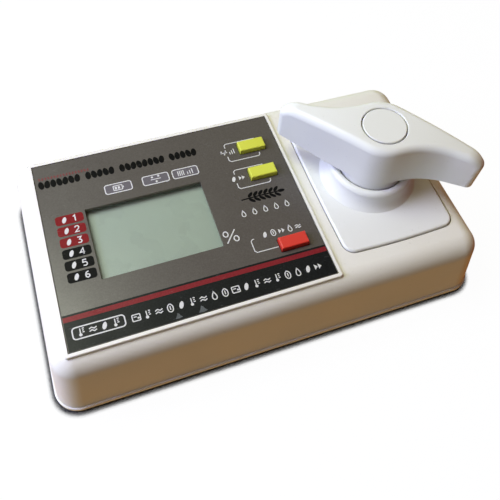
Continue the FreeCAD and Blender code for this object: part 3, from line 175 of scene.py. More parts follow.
# ---- materials ---------------------------------------------------------------------
class Paint:
    """A Principled material built up from textures fixed to the object."""

    def __init__(self, name):
        self.material = bpy.data.materials.new(name)
        self.material.use_nodes = True
        self.tree = self.material.node_tree
        self.shader = self.tree.nodes["Principled BSDF"]
        self.place = self.tree.nodes.new("ShaderNodeTexCoord").outputs["Object"]

    def add(self, kind, **settings):
        node = self.tree.nodes.new("ShaderNode" + kind)
        for key, value in settings.items():
            setattr(node, key, value)
        return node

    def feed(self, socket, value):
        """Link a socket to another, or give it a constant."""
        if isinstance(value, bpy.types.NodeSocket):
            self.tree.links.new(value, socket)
        elif isinstance(value, tuple) and len(value) == 3 and socket.type == "RGBA":
            socket.default_value = (*value, 1.0)
        else:
            socket.default_value = value

    def stretched(self, stretch):
        mapping = self.add("Mapping")
        self.feed(mapping.inputs["Vector"], self.place)
        mapping.inputs["Scale"].default_value = stretch
        return mapping.outputs["Vector"]

    def noise(self, scale, detail=2.0, stretch=None, roughness=0.5):
        node = self.add("TexNoise")
        self.feed(node.inputs["Vector"], self.stretched(stretch) if stretch else self.place)
        node.inputs["Scale"].default_value = scale
        node.inputs["Detail"].default_value = detail
        node.inputs["Roughness"].default_value = roughness
        return node.outputs["Fac"]

    def remap(self, value, low, high, to_low=0.0, to_high=1.0):
        node = self.add("MapRange", interpolation_type="SMOOTHSTEP")
        self.feed(node.inputs["Value"], value)
        node.inputs["From Min"].default_value = low
        node.inputs["From Max"].default_value = high
        node.inputs["To Min"].default_value = to_low
        node.inputs["To Max"].default_value = to_high
        return node.outputs["Result"]

    def spread(self, noise, low=0.0, high=1.0):
        """Stretch the middle of a noise over low to high."""
        return self.remap(noise, 0.3, 0.7, low, high)

    def maths(self, operation, first, second):
        node = self.add("Math", operation=operation)
        self.feed(node.inputs[0], first)
        self.feed(node.inputs[1], second)
        return node.outputs[0]

    def mix(self, share, first, second):
        node = self.add("Mix", data_type="RGBA")
        self.feed(node.inputs["Factor"], share)
        self.feed(node.inputs[6], first)
        self.feed(node.inputs[7], second)
        return node.outputs[2]

    def bump(self, height, distance, strength=1.0):
        node = self.add("Bump")
        node.inputs["Distance"].default_value = distance
        node.inputs["Strength"].default_value = strength
        self.feed(node.inputs["Height"], height)
        self.feed(self.shader.inputs["Normal"], node.outputs["Normal"])

    def finish(self, **inputs):
        for name, value in inputs.items():
            self.feed(self.shader.inputs[name.replace("_", " ")], value)
        return self.material


def scaled(colour, share):
    return tuple(c * share for c in colour)


def moulded(name, colour, tint, roughness, grain=1400.0, depth=0.012, crease_shade=(0.16, 0.13, 0.10)):
    """Injection-moulded plastic: faint mottling, fine surface grain, painted shade darkening
    creases, and rubbed patches and hairline scratches in its gloss."""
    paint = Paint(name)
    cloud = paint.remap(paint.noise(22.0, 4.0), 0.35, 0.7)
    base = paint.mix(cloud, colour, tint)
    specks = paint.remap(paint.noise(900.0, 1.0), 0.72, 0.80)
    base = paint.mix(paint.maths("MULTIPLY", specks, 0.35), base, scaled(tint, 0.72))
    # Painted shade: ambient occlusion pulls the colour towards the crease colour in narrow creases.
    crease = paint.add("AmbientOcclusion", samples=6)
    crease.inputs["Distance"].default_value = CREASE_MM * MM
    base = paint.mix(paint.remap(crease.outputs["AO"], 0.40, 0.05, 0.0, 0.9), base, crease_shade)
    rubbed = paint.spread(paint.noise(60.0, 5.0), roughness[0], roughness[1])
    hair = paint.remap(paint.noise(260.0, 2.0, (1.0, 14.0, 1.0)), 0.66, 0.72, 0.0, 0.08)
    paint.bump(paint.noise(grain, 3.0), depth * MM)
    gloss = paint.maths("ADD", rubbed, hair)
    return paint.finish(Base_Color=base, Roughness=gloss, Specular_IOR_Level=0.5)


def printed(name, colour, tint, roughness=(0.34, 0.46), specular=0.22):
    """Screen-printed film: an even colour with a slight grain, and fine wear scratches."""
    paint = Paint(name)
    grain = paint.spread(paint.noise(1800.0, 2.0))
    base = paint.mix(grain, colour, tint)
    scratch = paint.remap(paint.noise(330.0, 3.0, (1.0, 9.0, 1.0)), 0.68, 0.75)
    base = paint.mix(paint.maths("MULTIPLY", scratch, 0.12), base, (0.5, 0.5, 0.48))
    gloss = paint.spread(paint.noise(45.0, 5.0), roughness[0], roughness[1])
    paint.bump(paint.noise(2600.0, 2.0), 0.004 * MM)
    gloss = paint.maths("ADD", gloss, paint.maths("MULTIPLY", scratch, 0.15))
    return paint.finish(Base_Color=base, Roughness=gloss, Specular_IOR_Level=specular)


def metal(name, colour, roughness, stretch, scale=240.0, tarnish=(0.35, 0.32, 0.28)):
    """Machined or plated metal: tool marks along one direction and a little tarnish."""
    paint = Paint(name)
    marks = paint.noise(scale, 4.0, stretch)
    stain = paint.remap(paint.noise(70.0, 5.0), 0.55, 0.78, 0.0, 0.5)
    bare = paint.mix(paint.spread(marks), colour, scaled(colour, 0.82))
    base = paint.mix(stain, bare, tarnish)
    gloss = paint.spread(marks, roughness[0], roughness[1])
    gloss = paint.maths("ADD", gloss, paint.maths("MULTIPLY", stain, 0.3))
    paint.bump(marks, 0.012 * MM)
    return paint.finish(Base_Color=base, Roughness=gloss, Metallic=1.0)


def cast(name, colour):
    """As-cast alloy: grainy skin with small pits."""
    paint = Paint(name)
    skin = paint.noise(520.0, 5.0)
    pits = paint.add("TexVoronoi")
    paint.feed(pits.inputs["Vector"], paint.place)
    pits.inputs["Scale"].default_value = 420.0
    hollow = paint.remap(pits.outputs["Distance"], 0.05, 0.35)
    base = paint.mix(hollow, scaled(colour, 0.6), paint.mix(skin, scaled(colour, 0.85), colour))
    paint.bump(paint.maths("ADD", skin, paint.maths("MULTIPLY", hollow, 0.6)), 0.05 * MM)
    gloss = paint.spread(skin, 0.42, 0.62)
    return paint.finish(Base_Color=base, Roughness=gloss, Metallic=0.9)


def rubber(name, colour, grain=1100.0):
    """Matt rubber with a bloom that gathers in patches."""
    paint = Paint(name)
    bloom = paint.remap(paint.noise(80.0, 5.0), 0.45, 0.75)
    base = paint.mix(paint.maths("MULTIPLY", bloom, 0.4), colour, tuple(c + 0.05 for c in colour))
    paint.bump(paint.noise(grain, 4.0), 0.03 * MM)
    gloss = paint.remap(bloom, 0.0, 1.0, 0.72, 0.9)
    return paint.finish(Base_Color=base, Roughness=gloss, Specular_IOR_Level=0.3)


def wire_cover(name, colour):
    """Soft PVC insulation, a little wavy and glossy."""
    paint = Paint(name)
    wave = paint.noise(420.0, 2.0)
    paint.bump(wave, 0.03 * MM)
    base = paint.mix(paint.spread(wave), colour, scaled(colour, 0.75))
    gloss = paint.spread(paint.noise(150.0), 0.28, 0.42)
    return paint.finish(Base_Color=base, Roughness=gloss)


def circuit_board(name):
    """Green solder mask over copper tracks, with tinned pads."""
    paint = Paint(name)
    tracks = paint.add("TexBrick", offset=0.37, squash=1.6, squash_frequency=3)
    paint.feed(tracks.inputs["Vector"], paint.place)
    tracks.inputs["Scale"].default_value = 130.0
    tracks.inputs["Mortar Size"].default_value = 0.045
    tracks.inputs["Mortar Smooth"].default_value = 0.3
    pads = paint.add("TexVoronoi", feature="F1", distance="CHEBYCHEV")
    paint.feed(pads.inputs["Vector"], paint.place)
    pads.inputs["Scale"].default_value = 210.0
    pads.inputs["Randomness"].default_value = 0.25
    pad = paint.remap(pads.outputs["Distance"], 0.16, 0.13)
    chosen = paint.maths("MULTIPLY", pad, paint.remap(paint.noise(60.0), 0.52, 0.56))
    mask = paint.mix(tracks.outputs["Fac"], (0.015, 0.11, 0.045), (0.03, 0.20, 0.07))
    base = paint.mix(chosen, mask, (0.62, 0.60, 0.55))
    paint.bump(paint.maths("ADD", tracks.outputs["Fac"], chosen), 0.04 * MM)
    gloss = paint.spread(paint.noise(300.0, 3.0), 0.25, 0.4)
    return paint.finish(Base_Color=base, Roughness=gloss, Metallic=chosen)


def cell_wrap(name):
    """Printed sleeve of a dry cell: blue, with a grey band and bare metal ends."""
    paint = Paint(name)
    split = paint.add("SeparateXYZ")
    paint.feed(split.inputs[0], paint.place)
    low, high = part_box("battery_cell_1")
    along = paint.remap(split.outputs["Y"], low.y, high.y)
    band = paint.remap(along, 0.68, 0.69)
    base = paint.mix(band, (0.05, 0.16, 0.30), (0.55, 0.56, 0.58))
    front_end = paint.remap(along, 0.03, 0.025)
    back_end = paint.remap(along, 0.962, 0.967)
    ends = paint.maths("MAXIMUM", front_end, back_end)
    base = paint.mix(ends, base, (0.62, 0.61, 0.58))
    scuff = paint.remap(paint.noise(200.0, 4.0, (1.0, 0.3, 1.0)), 0.6, 0.75, 0.0, 0.3)
    base = paint.mix(scuff, base, (0.4, 0.42, 0.45))
    paint.bump(paint.noise(700.0, 3.0), 0.01 * MM)
    gloss = paint.spread(paint.noise(120.0, 3.0), 0.22, 0.38)
    return paint.finish(Base_Color=base, Roughness=gloss, Metallic=ends)


def liquid_crystal(name):
    """Grey-green display glass with a faint cloud in its colour."""
    paint = Paint(name)
    cloud = paint.spread(paint.noise(28.0, 3.0))
    base = paint.mix(cloud, (0.415, 0.45, 0.50), (0.43, 0.46, 0.51))
    paint.bump(paint.noise(200.0, 1.0), 0.0006 * MM)
    gloss = paint.spread(paint.noise(90.0, 3.0), 0.24, 0.34)
    return paint.finish(Base_Color=base, Roughness=gloss)


def window_pane(name):
    """Clear acrylic pane: see-through, with a soft reflection and faint wipe marks."""
    paint = Paint(name)
    smear = paint.remap(paint.noise(55.0, 5.0, (1.0, 3.0, 1.0)), 0.4, 0.75, 0.10, 0.14)
    paint.bump(paint.noise(120.0, 2.0), 0.0008 * MM)
    paint.finish(Base_Color=(0.80, 0.85, 0.82), Roughness=smear)
    clear = paint.add("BsdfTransparent")
    clear.inputs["Color"].default_value = (0.95, 0.97, 0.95, 1.0)
    fresnel = paint.add("Fresnel")
    fresnel.inputs["IOR"].default_value = 1.45
    mix = paint.add("MixShader")
    paint.feed(mix.inputs[0], fresnel.outputs[0])
    paint.feed(mix.inputs[1], clear.outputs[0])
    paint.feed(mix.inputs[2], paint.shader.outputs[0])
    output = next(n for n in paint.tree.nodes if n.type == "OUTPUT_MATERIAL")
    paint.feed(output.inputs["Surface"], mix.outputs[0])
    return paint.material


def add_materials():
    """One finish for each material slot of the record."""
    off_white = ((0.80, 0.785, 0.735), (0.785, 0.763, 0.695))
    cool_white = ((0.80, 0.81, 0.80), (0.785, 0.79, 0.77))
    yellow = ((0.635, 0.665, 0.075), (0.60, 0.62, 0.06))
    red = ((0.62, 0.036, 0.024), (0.56, 0.03, 0.02))
    black = ((0.020, 0.020, 0.021), (0.03, 0.03, 0.031))
    epoxy = ((0.022, 0.022, 0.024), (0.035, 0.035, 0.036))
    phenolic = ((0.36, 0.20, 0.09), (0.28, 0.15, 0.065))
    tray_white = ((0.72, 0.71, 0.66), (0.69, 0.675, 0.62))
    dark_grey = ((0.076, 0.067, 0.058), (0.092, 0.082, 0.072))
    satin = (0.38, 0.5)
    turned = (1.0, 1.0, 16.0)
    ground = (1.0, 1.0, 14.0)
    plated = (1.0, 1.0, 1.0)
    # The crease colours given to the mouldings are painted shade that darkens their narrow creases.
    black_crease_shade = (0.01, 0.01, 0.01)
    finishes = {
        "case_plastic": moulded("case_moulding", *off_white, (0.36, 0.46), 1000.0, 0.02),
        "handle_plastic": moulded("handle_moulding", *cool_white, (0.32, 0.42)),
        "panel_print": printed("panel_ink", *dark_grey, (0.27, 0.37), 0.42),
        "clear_window": window_pane("window_acrylic"),
        "lcd_glass": liquid_crystal("display_glass"),
        "black_plastic": moulded("black_moulding", *black, (0.40, 0.55), crease_shade=black_crease_shade),
        "tray_plastic": moulded("tray_moulding", *tray_white, satin),
        "yellow_plastic": moulded("yellow_moulding", *yellow, satin, crease_shade=(0.10, 0.10, 0.01)),
        "red_plastic": moulded("red_moulding", *red, satin, crease_shade=(0.06, 0.01, 0.01)),
        "component_black": moulded("epoxy", *epoxy, (0.5, 0.65), 900.0, 0.03, black_crease_shade),
        "insulator": moulded("phenolic", *phenolic, (0.35, 0.5), 700.0, 0.02, (0.10, 0.05, 0.02)),
        "rubber": rubber("foot_rubber", (0.03, 0.03, 0.031)),
        "strip_rubber": rubber("strip_elastomer", (0.20, 0.20, 0.21), 1600.0),
        "board": circuit_board("board_laminate"),
        "cast_alloy": cast("cast_alloy", (0.42, 0.43, 0.44)),
        "brass": metal("turned_brass", (0.72, 0.50, 0.22), (0.22, 0.38), turned,
                       tarnish=(0.30, 0.21, 0.10)),
        "steel": metal("ground_steel", (0.60, 0.60, 0.61), (0.18, 0.32), ground),
        "plated_steel": metal("plated_steel", (0.66, 0.65, 0.60), (0.22, 0.36), plated, 500.0),
        "wire_red": wire_cover("red_insulation", (0.50, 0.02, 0.015)),
        "wire_black": wire_cover("black_insulation", (0.018, 0.018, 0.02)),
        "cell_wrap": cell_wrap("cell_sleeve"),
    }
    for subpart in frame["record"]["subparts"]:
        for slot in nodes[subpart["node"]].material_slots:
            slot.material = finishes[subpart["material_slot"]]


# ---- printed marks on the panel ----------------------------------------------------
def ellipse(cx, cy, rx, ry, count=20):
    turns = [2 * math.pi * i / count for i in range(count)]
    return [(cx + rx * math.cos(t), cy + ry * math.sin(t)) for t in turns]


def kernel(cx, cy, rx, ry, lean=0.0, count=18):
    """Grain kernel: an oval with a pointed top."""
    points = []
    for i in range(count):
        t = 2 * math.pi * i / count
        narrow = 1.0 - 0.28 * max(0.0, math.sin(t)) ** 2
        x = rx * math.cos(t) * narrow
        y = ry * math.copysign(abs(math.sin(t)) ** 0.85, math.sin(t))
        points.append((cx + x * math.cos(lean) - y * math.sin(lean),
                       cy + x * math.sin(lean) + y * math.cos(lean)))
    return points


def drop(cx, cy, rx, ry, count=18):
    """Drop of water, pointed at the top."""
    points = []
    for i in range(count):
        round_turn = 2 * math.pi * i / count
        t = round_turn + math.pi / 2
        narrow = math.sin((t - math.pi / 2) / 2) ** 1.2
        points.append((cx + rx * math.cos(t) * narrow, cy + ry * math.sin(t)))
    return points


def rounded(x0, y0, x1, y1, radius, steps=5):
    """Rectangle with rounded corners."""
    points = []
    for cx, cy, start in ((x1 - radius, y1 - radius, 0), (x0 + radius, y1 - radius, 90),
                          (x0 + radius, y0 + radius, 180), (x1 - radius, y0 + radius, 270)):
        for i in range(steps + 1):
            t = math.radians(start + 90 * i / steps)
            points.append((cx + radius * math.cos(t), cy + radius * math.sin(t)))
    return points


# Small signs in a unit square: ("line" | "loop" | "fill", points).
SIGNS = {
    "kernel": [("fill", kernel(0, 0, 0.23, 0.44, -0.35))],
    "husk": [("loop", kernel(0, 0, 0.30, 0.46)), ("line", [(0, -0.22), (0, 0.24)])],
    "drop": [("loop", drop(0, 0, 0.34, 0.46))],
    "warmth": [("line", [(-0.1, -0.12), (-0.1, 0.46)]), ("fill", ellipse(-0.1, -0.28, 0.17, 0.17)),
               ("line", [(0.12, 0.42), (0.34, 0.42)]), ("line", [(0.12, 0.2), (0.28, 0.2)]),
               ("line", [(0.12, -0.02), (0.34, -0.02)])],
    "alike": [("line", [(-0.4, 0.1), (-0.14, 0.24), (0.14, 0.06), (0.4, 0.2)]),
              ("line", [(-0.4, -0.2), (-0.14, -0.06), (0.14, -0.24), (0.4, -0.1)])],
    "meter": [("loop", rounded(-0.42, -0.36, 0.42, 0.36, 0.08, 2)),
              ("line", [(-0.26, 0.1), (0.06, 0.1)]),
              ("fill", ellipse(0.22, -0.08, 0.12, 0.12, 10))],
    "mean": [("line", [(-0.48, 0.0), (0.48, 0.0)]), ("fill", ellipse(-0.3, 0.27, 0.11, 0.11, 10)),
             ("fill", ellipse(0.02, -0.28, 0.11, 0.11, 10)),
             ("fill", ellipse(0.32, 0.3, 0.11, 0.11, 10))],
    "step": [("fill", [(-0.42, -0.34), (-0.04, 0.0), (-0.42, 0.34)]),
             ("fill", [(0.04, -0.34), (0.42, 0.0), (0.04, 0.34)])],
    "tally": [("line", [(-0.36, -0.4), (-0.36, 0.4)]), ("line", [(-0.12, -0.4), (-0.12, 0.4)]),
              ("line", [(0.12, -0.4), (0.12, 0.4)]), ("line", [(0.36, -0.4), (0.36, 0.4)])],
    "cell": [("loop", rounded(-0.46, -0.26, 0.36, 0.26, 0.05, 2)),
             ("fill", rounded(0.38, -0.1, 0.5, 0.1, 0.03, 1)),
             ("fill", rounded(-0.34, -0.14, -0.14, 0.14, 0.02, 1)),
             ("fill", rounded(-0.06, -0.14, 0.14, 0.14, 0.02, 1))],
    "bars": [("line", [(-0.32, -0.42), (-0.32, 0.0)]), ("line", [(0.0, -0.42), (0.0, 0.2)]),
             ("line", [(0.32, -0.42), (0.32, 0.42)])],
    "1": [("line", [(-0.18, 0.28), (0.06, 0.46), (0.06, -0.46)])],
    "2": [("line", [(-0.26, 0.26), (-0.14, 0.44), (0.14, 0.44), (0.26, 0.24), (0.2, 0.04),
                    (-0.26, -0.44), (0.28, -0.44)])],
    "3": [("line", [(-0.24, 0.44), (0.24, 0.44), (0.0, 0.08), (0.22, -0.04), (0.26, -0.26),
                    (0.12, -0.44), (-0.24, -0.4)])],
    "4": [("line", [(0.16, -0.46), (0.16, 0.44), (-0.28, -0.16), (0.32, -0.16)])],
    "5": [("line", [(0.24, 0.44), (-0.2, 0.44), (-0.24, 0.06), (0.1, 0.1), (0.26, -0.1),
                    (0.24, -0.32), (0.06, -0.44), (-0.24, -0.38)])],
    "6": [("line", [(0.18, 0.44), (-0.12, 0.28), (-0.24, 0.0), (-0.22, -0.3), (0.0, -0.45),
                    (0.22, -0.32), (0.22, -0.08), (0.0, 0.04), (-0.2, -0.08)])],
}


class Ink:
    """Flat marks gathered into one very thin closed mesh on the panel's face. Millimetres.
    The whole overlay is printed slightly off square, by PRINT_SLOPE."""

    def __init__(self, thickness):
        self.mesh = bmesh.new()
        self.low = PANEL_Z - 0.01
        self.high = PANEL_Z + thickness

    def ring_of(self, points, z):
        ring = []
        for x, y in points:
            lean_y = y + PRINT_SLOPE * (x - PANEL_MID_X)
            ring.append(self.mesh.verts.new((x * MM, lean_y * MM, z * MM)))
        return ring

    def fill(self, points):
        """A solid patch inside the outline."""
        low = self.ring_of(points, self.low)
        high = self.ring_of(points, self.high)
        self.mesh.faces.new(high)
        self.mesh.faces.new(low[::-1])
        for i in range(len(points)):
            self.mesh.faces.new((low[i - 1], low[i], high[i], high[i - 1]))

    def band(self, outer, inner):
        """A closed frame between two outlines."""
        rings = [self.ring_of(points, z) for points in (outer, inner) for z in (self.low, self.high)]
        outer_low, outer_high, inner_low, inner_high = rings
        for i in range(len(outer)):
            self.mesh.faces.new((outer_high[i - 1], outer_high[i], inner_high[i], inner_high[i - 1]))
            self.mesh.faces.new((inner_low[i - 1], inner_low[i], outer_low[i], outer_low[i - 1]))
            self.mesh.faces.new((outer_low[i - 1], outer_low[i], outer_high[i], outer_high[i - 1]))
            self.mesh.faces.new((inner_high[i - 1], inner_high[i], inner_low[i], inner_low[i - 1]))

    def line(self, points, width, closed=False):
        """A stroke of one width along the points, mitred at its corners."""
        count = len(points)
        left = []
        right = []
        for i, (x, y) in enumerate(points):
            before = points[i - 1] if i or closed else None
            after = points[(i + 1) % count] if i < count - 1 or closed else None
            directions = []
            if before is not None:
                directions.append(Vector((x - before[0], y - before[1])).normalized())
            if after is not None:
                directions.append(Vector((after[0] - x, after[1] - y)).normalized())
            along = sum(directions, Vector((0.0, 0.0))).normalized()
            side = Vector((-along.y, along.x))
            reach = width / 2 / max(0.45, abs(side.dot(Vector((-directions[0].y, directions[0].x)))))
            left.append((x + side.x * reach, y + side.y * reach))
            right.append((x - side.x * reach, y - side.y * reach))
        if closed:
            self.band(right, left)
        else:
            self.fill(right + left[::-1])

    def sign(self, name, cx, cy, size, width):
        """One of the SIGNS, centred and scaled, with strokes of one width."""
        for kind, points in SIGNS[name]:
            placed = [(cx + x * size, cy + y * size) for x, y in points]
            if kind == "fill":
                self.fill(placed)
            else:
                self.line(placed, width, kind == "loop")

    def row(self, names, cx, cy, pitch, size, width):
        """A row of signs centred on one point."""
        for i, name in enumerate(names):
            self.sign(name, cx + (i - (len(names) - 1) / 2) * pitch, cy, size, width)

    def print_as(self, name, material):
        """Make the gathered marks a piece that rides the case."""
        bmesh.ops.recalc_face_normals(self.mesh, faces=self.mesh.faces)
        data = bpy.data.meshes.new(name)
        self.mesh.to_mesh(data)
        self.mesh.free()
        data.materials.append(material)
        piece = bpy.data.objects.new(name, data)
        bpy.context.scene.collection.objects.link(piece)
        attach(piece, "case")


def edges_mm(node):
    """Low and high corners of a node's box, in millimetres."""
    low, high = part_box(node)
    return low / MM, high / MM


def middle_mm(node):
    low, high = edges_mm(node)
    return (low.x + high.x) / 2, (low.y + high.y) / 2


PANEL_LOW, PANEL_HIGH = edges_mm("panel_plate")
WINDOW_LOW, WINDOW_HIGH = edges_mm("display_window")
PANEL_Z = PANEL_HIGH.z
PANEL_MID_X = (PANEL_LOW.x + PANEL_HIGH.x) / 2
PRINT_SLOPE = -0.0103
PRINT_INSET = 0.12                 # bare edge round the band
BOTTOM_LAYER = 0.03                # thickness of the ink that other ink lies on
TOP_LAYER = 0.05
FINE = 0.42                        # stroke width of the small signs
BAND_TOP = PANEL_LOW.y + 11.35     # the black band along the panel's front edge
STRIPE_DEPTH = 2.1                 # the red stripe behind it
KEYLINE_DEPTH = 0.85               # the thin black line behind the stripe
TAG_PITCH = 5.42
TAG_HALF = (5.7, 2.25)
PILL_HALF = (5.7, 2.35)
PILL_STROKE = 0.45
BRACKET_STROKE = 0.38
SIGN_STROKE = 0.40                 # signs in the pills and beside the buttons
NUMBER_STROKE = 0.48
BOLD_STROKE = 0.5
STALK_STROKE = 0.6
EAR_X = WINDOW_HIGH.x + 12.4       # foot of the ear of grain
EAR_Y = (WINDOW_LOW.y + WINDOW_HIGH.y) / 2 + 2.7


def print_band(black, red):
    """Black band along the front, with the red stripe and the key line behind it."""
    x0 = PANEL_LOW.x + PRINT_INSET
    x1 = PANEL_HIGH.x - PRINT_INSET
    front_y = PANEL_LOW.y + PRINT_INSET
    skew = PRINT_SLOPE * (x1 - x0) / 2       # keeps the front edge square to the panel
    keyline = BAND_TOP + STRIPE_DEPTH
    keyline_top = keyline + KEYLINE_DEPTH
    band = Ink(BOTTOM_LAYER)
    band.fill([(x0, front_y + skew), (x1, front_y - skew), (x1, BAND_TOP), (x0, BAND_TOP)])
    band.fill([(x0, keyline), (x1, keyline), (x1, keyline_top), (x0, keyline_top)])
    band.print_as("panel_band", black)
    stripe = Ink(BOTTOM_LAYER)
    stripe.fill([(x0, BAND_TOP), (x1, BAND_TOP), (x1, keyline), (x0, keyline)])
    stripe.print_as("panel_stripe", red)


def print_notice(white):
    """Framed signs at the left end of the band, and a row of signs along the rest of it."""
    middle = PANEL_LOW.y + 6.1
    left = PANEL_LOW.x + 2.6
    notice = Ink(TOP_LAYER)
    notice.line(rounded(left, middle - 2.35, left + 19.4, middle + 2.35, 1.2), BOLD_STROKE, True)
    for i, name in enumerate(("warmth", "alike", "kernel", "warmth")):
        notice.sign(name, left + 3.2 + 4.3 * i, middle, 3.5, FINE)
    row = ("meter", "warmth", "alike", "husk", "kernel", "warmth", "alike", "drop", "husk",
           "meter", "kernel", "warmth", "alike", "warmth", "husk", "drop", "kernel", "step")
    first = left + 23.6
    pitch = (PANEL_HIGH.x - 6.6 - first) / (len(row) - 1)
    for i, name in enumerate(row):
        notice.sign(name, first + pitch * i, middle - 0.4, 3.6, FINE)
    notice.print_as("notice_symbols", white)


def print_scuffs(grey):
    """Two rubbed spots near the front edge of the band."""
    outline = [(-0.9, -0.5), (0.1, -0.6), (1.0, -0.4), (0.5, 0.1), (0.3, 0.6), (-0.1, 0.9), (-0.4, 0.2)]
    cy = PANEL_LOW.y + 1.5
    scuffs = Ink(TOP_LAYER)
    for along, size in ((41.45, 1.5), (50.85, 1.9)):
        cx = PANEL_LOW.x + along
        scuffs.fill([(cx + x * size, cy + y * size) for x, y in outline])
    scuffs.print_as("print_scuffs", grey)


def print_crop_tags(black, red, white):
    """Six crop tags beside the display: a kernel sign and a number in each."""
    tag_x = WINDOW_LOW.x - 5.1
    tag_y = [WINDOW_HIGH.y - 4.8 - TAG_PITCH * i for i in range(6)]
    half_x, half_y = TAG_HALF
    signs = Ink(TOP_LAYER)
    for name, rows, ink in (("crop_tags_red", tag_y[:3], red),
                            ("crop_tags_black", tag_y[3:], black)):
        tags = Ink(BOTTOM_LAYER)
        for y in rows:
            tags.fill(rounded(tag_x - half_x, y - half_y, tag_x + half_x, y + half_y, 1.2))
        tags.print_as(name, ink)
    for i, y in enumerate(tag_y):
        signs.sign("kernel", tag_x - 2.1, y, 3.5, FINE)
        signs.sign(str(i + 1), tag_x + 2.1, y, 3.1, NUMBER_STROKE)
    signs.print_as("crop_symbols", white)


def print_status_pills(white, tinted):
    """Three outlined pills behind the display: battery, mean, and count."""
    y = WINDOW_HIGH.y + 5.2
    half_x, half_y = PILL_HALF
    pills = Ink(TOP_LAYER)
    fills = Ink(BOTTOM_LAYER)
    for along, names in ((17.4, ("cell",)), (33.7, ("mean",)), (46.9, ("tally", "bars"))):
        x = WINDOW_LOW.x + along
        outline = rounded(x - half_x, y - half_y, x + half_x, y + half_y, 1.0)
        pills.line(outline, PILL_STROKE, True)
        fills.fill(outline)
        size = 4.6 if len(names) == 1 else 3.4
        pills.row(names, x, y, 4.0, size, SIGN_STROKE)
    pills.print_as("status_pills", white)
    fills.print_as("status_fills", tinted)


def print_title(black, faded_red):
    """Four groups of bold kernels across the top, under a faint row of small red ones."""
    row = Ink(TOP_LAYER)
    pitch = 2.52
    x = PANEL_LOW.x + 2.3
    top_y = PANEL_HIGH.y - 10.8
    leans = (0.22, -0.18, 0.0, 0.26, -0.24)
    count = 0
    for word in (7, 5, 8, 5):
        for _ in range(word):
            row.fill(kernel(x, top_y, 1.2, 2.1, leans[count % len(leans)] * 0.6))
            x += pitch
            count += 1
        x += pitch * 0.85
    row.print_as("title_row", black)
    small = Ink(TOP_LAYER)
    for i in range(17):
        small_x = PANEL_LOW.x + 2.0 + 1.28 * i
        small.fill(kernel(small_x, top_y + 3.2, 0.42, 0.8, leans[i % len(leans)], 10))
    small.print_as("title_row_small", faded_red)


def print_ear(black):
    """Ear of grain lying along the panel, beside the display."""
    ear = Ink(TOP_LAYER)
    stalk = [(EAR_X, EAR_Y - 0.2), (EAR_X + 6.0, EAR_Y), (EAR_X + 17.0, EAR_Y)]
    ear.line(stalk, STALK_STROKE)
    for i in range(6):
        x = EAR_X + 4.6 + 2.35 * i
        for side in (-1, 1):
            lean = (side - 1) * math.pi / 2 - side * 0.85
            ear.fill(kernel(x, EAR_Y + side * 1.5, 0.72, 1.6, lean, 14))
    ear.fill(kernel(EAR_X + 18.4, EAR_Y, 0.8, 1.6, -math.pi / 2, 14))
    ear.print_as("ear_mark", black)


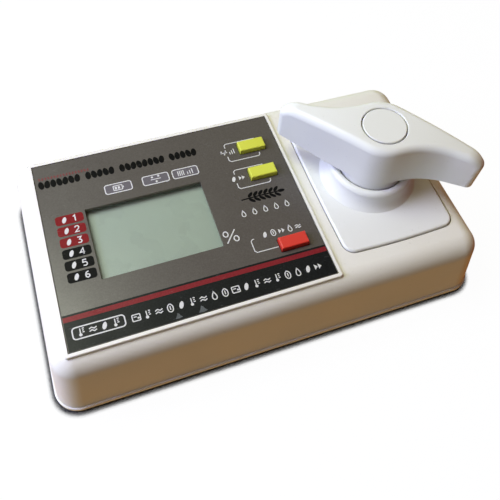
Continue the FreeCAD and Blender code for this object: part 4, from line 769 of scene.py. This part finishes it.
def print_button_marks(white):
    """Brackets round the buttons, rows of signs beside them, and the percent sign."""
    average = middle_mm("average_button")
    select = middle_mm("select_button")
    measure = middle_mm("measure_button")
    brackets = (
        (average, [(2.7, 4.0), (2.7, 4.9), (-10.9, 4.9), (-11.7, 4.2), (-11.7, 2.6)]),
        (average, [(-12.0, -2.2), (-12.0, -4.5), (-11.2, -5.3), (1.8, -5.3), (2.6, -4.5), (2.6, -3.5)]),
        (select, [(1.4, 4.0), (1.4, 5.0), (-11.4, 5.0), (-12.2, 4.2), (-12.2, 2.8)]),
        (select, [(-12.7, -2.1), (-12.7, -4.4), (-11.9, -5.2), (1.4, -5.2), (2.2, -4.4), (2.2, -3.4)]),
        (measure, [(-15.0, 6.5), (-15.8, 6.5), (-16.6, 5.7), (-16.6, 1.0), (-15.8, 0.2), (-6.6, 0.2)]),
    )
    marks = Ink(TOP_LAYER)
    for (cx, cy), points in brackets:
        marks.line([(cx + x, cy + y) for x, y in points], BRACKET_STROKE)
    marks.print_as("button_brackets", white)
    signs = Ink(TOP_LAYER)
    ear = (EAR_X, EAR_Y)
    rows = ((average, -11.2, 0.2, 3.7, ("mean", "bars")),
            (select, -11.5, 0.4, 3.7, ("kernel", "step")),
            (measure, -2.6, 7.2, 3.7, ("kernel", "husk", "step", "drop", "alike")),
            (ear, 8.5, -7.0, 4.9, ("drop",) * 5))
    for (cx, cy), x, y, pitch, names in rows:
        signs.row(names, cx + x, cy + y, pitch, 3.2, SIGN_STROKE)
    x = WINDOW_HIGH.x + 2.5
    y = WINDOW_LOW.y + 5.2
    signs.line([(x - 2.4, y - 2.9), (x + 2.4, y + 2.9)], BOLD_STROKE)
    for side in (-1, 1):
        signs.line(ellipse(x + side * 1.9, y - side * 1.5, 1.0, 1.25), BOLD_STROKE, True)
    signs.print_as("button_symbols", white)


add_camera()
add_world()
add_floor()
area_light("key", place=(-0.45, 0.10, 0.30), watts=0.8, colour=(1.66, 1.62, 3.45), mirrored=False)
area_light("overhead", place=(-0.24, 0.17, 0.60), watts=2.4, colour=(1.05, 1.13, 0.92))
add_materials()

black_ink = printed("black_ink", (0.003, 0.003, 0.0035), (0.006, 0.006, 0.006),
                    specular=0.06)
band_ink = printed("band_ink", (0.005, 0.006, 0.0065), (0.010, 0.0115, 0.0125),
                   specular=0.14)
tag_red_ink = printed("tag_red_ink", (0.175, 0.006, 0.010), (0.205, 0.009, 0.013),
                      specular=0.10)
stripe_ink = printed("stripe_ink", (0.175, 0.012, 0.017), (0.21, 0.017, 0.023),
                     specular=0.15)
faded_red_ink = printed("faded_red_ink", (0.15, 0.040, 0.040), (0.17, 0.055, 0.052))
white_ink = printed("white_ink", (0.66, 0.66, 0.64), (0.58, 0.58, 0.56))
grey_ink = printed("grey_ink", (0.075, 0.083, 0.086), (0.11, 0.12, 0.122))
tinted_ink = printed("tinted_ink", (0.115, 0.105, 0.115), (0.135, 0.125, 0.135))

print_band(band_ink, stripe_ink)
print_notice(white_ink)
print_scuffs(grey_ink)
print_crop_tags(black_ink, tag_red_ink, white_ink)
print_status_pills(white_ink, tinted_ink)
print_title(black_ink, faded_red_ink)
print_ear(black_ink)
print_button_marks(white_ink)

bpy.context.scene.view_settings.view_transform = "Standard"
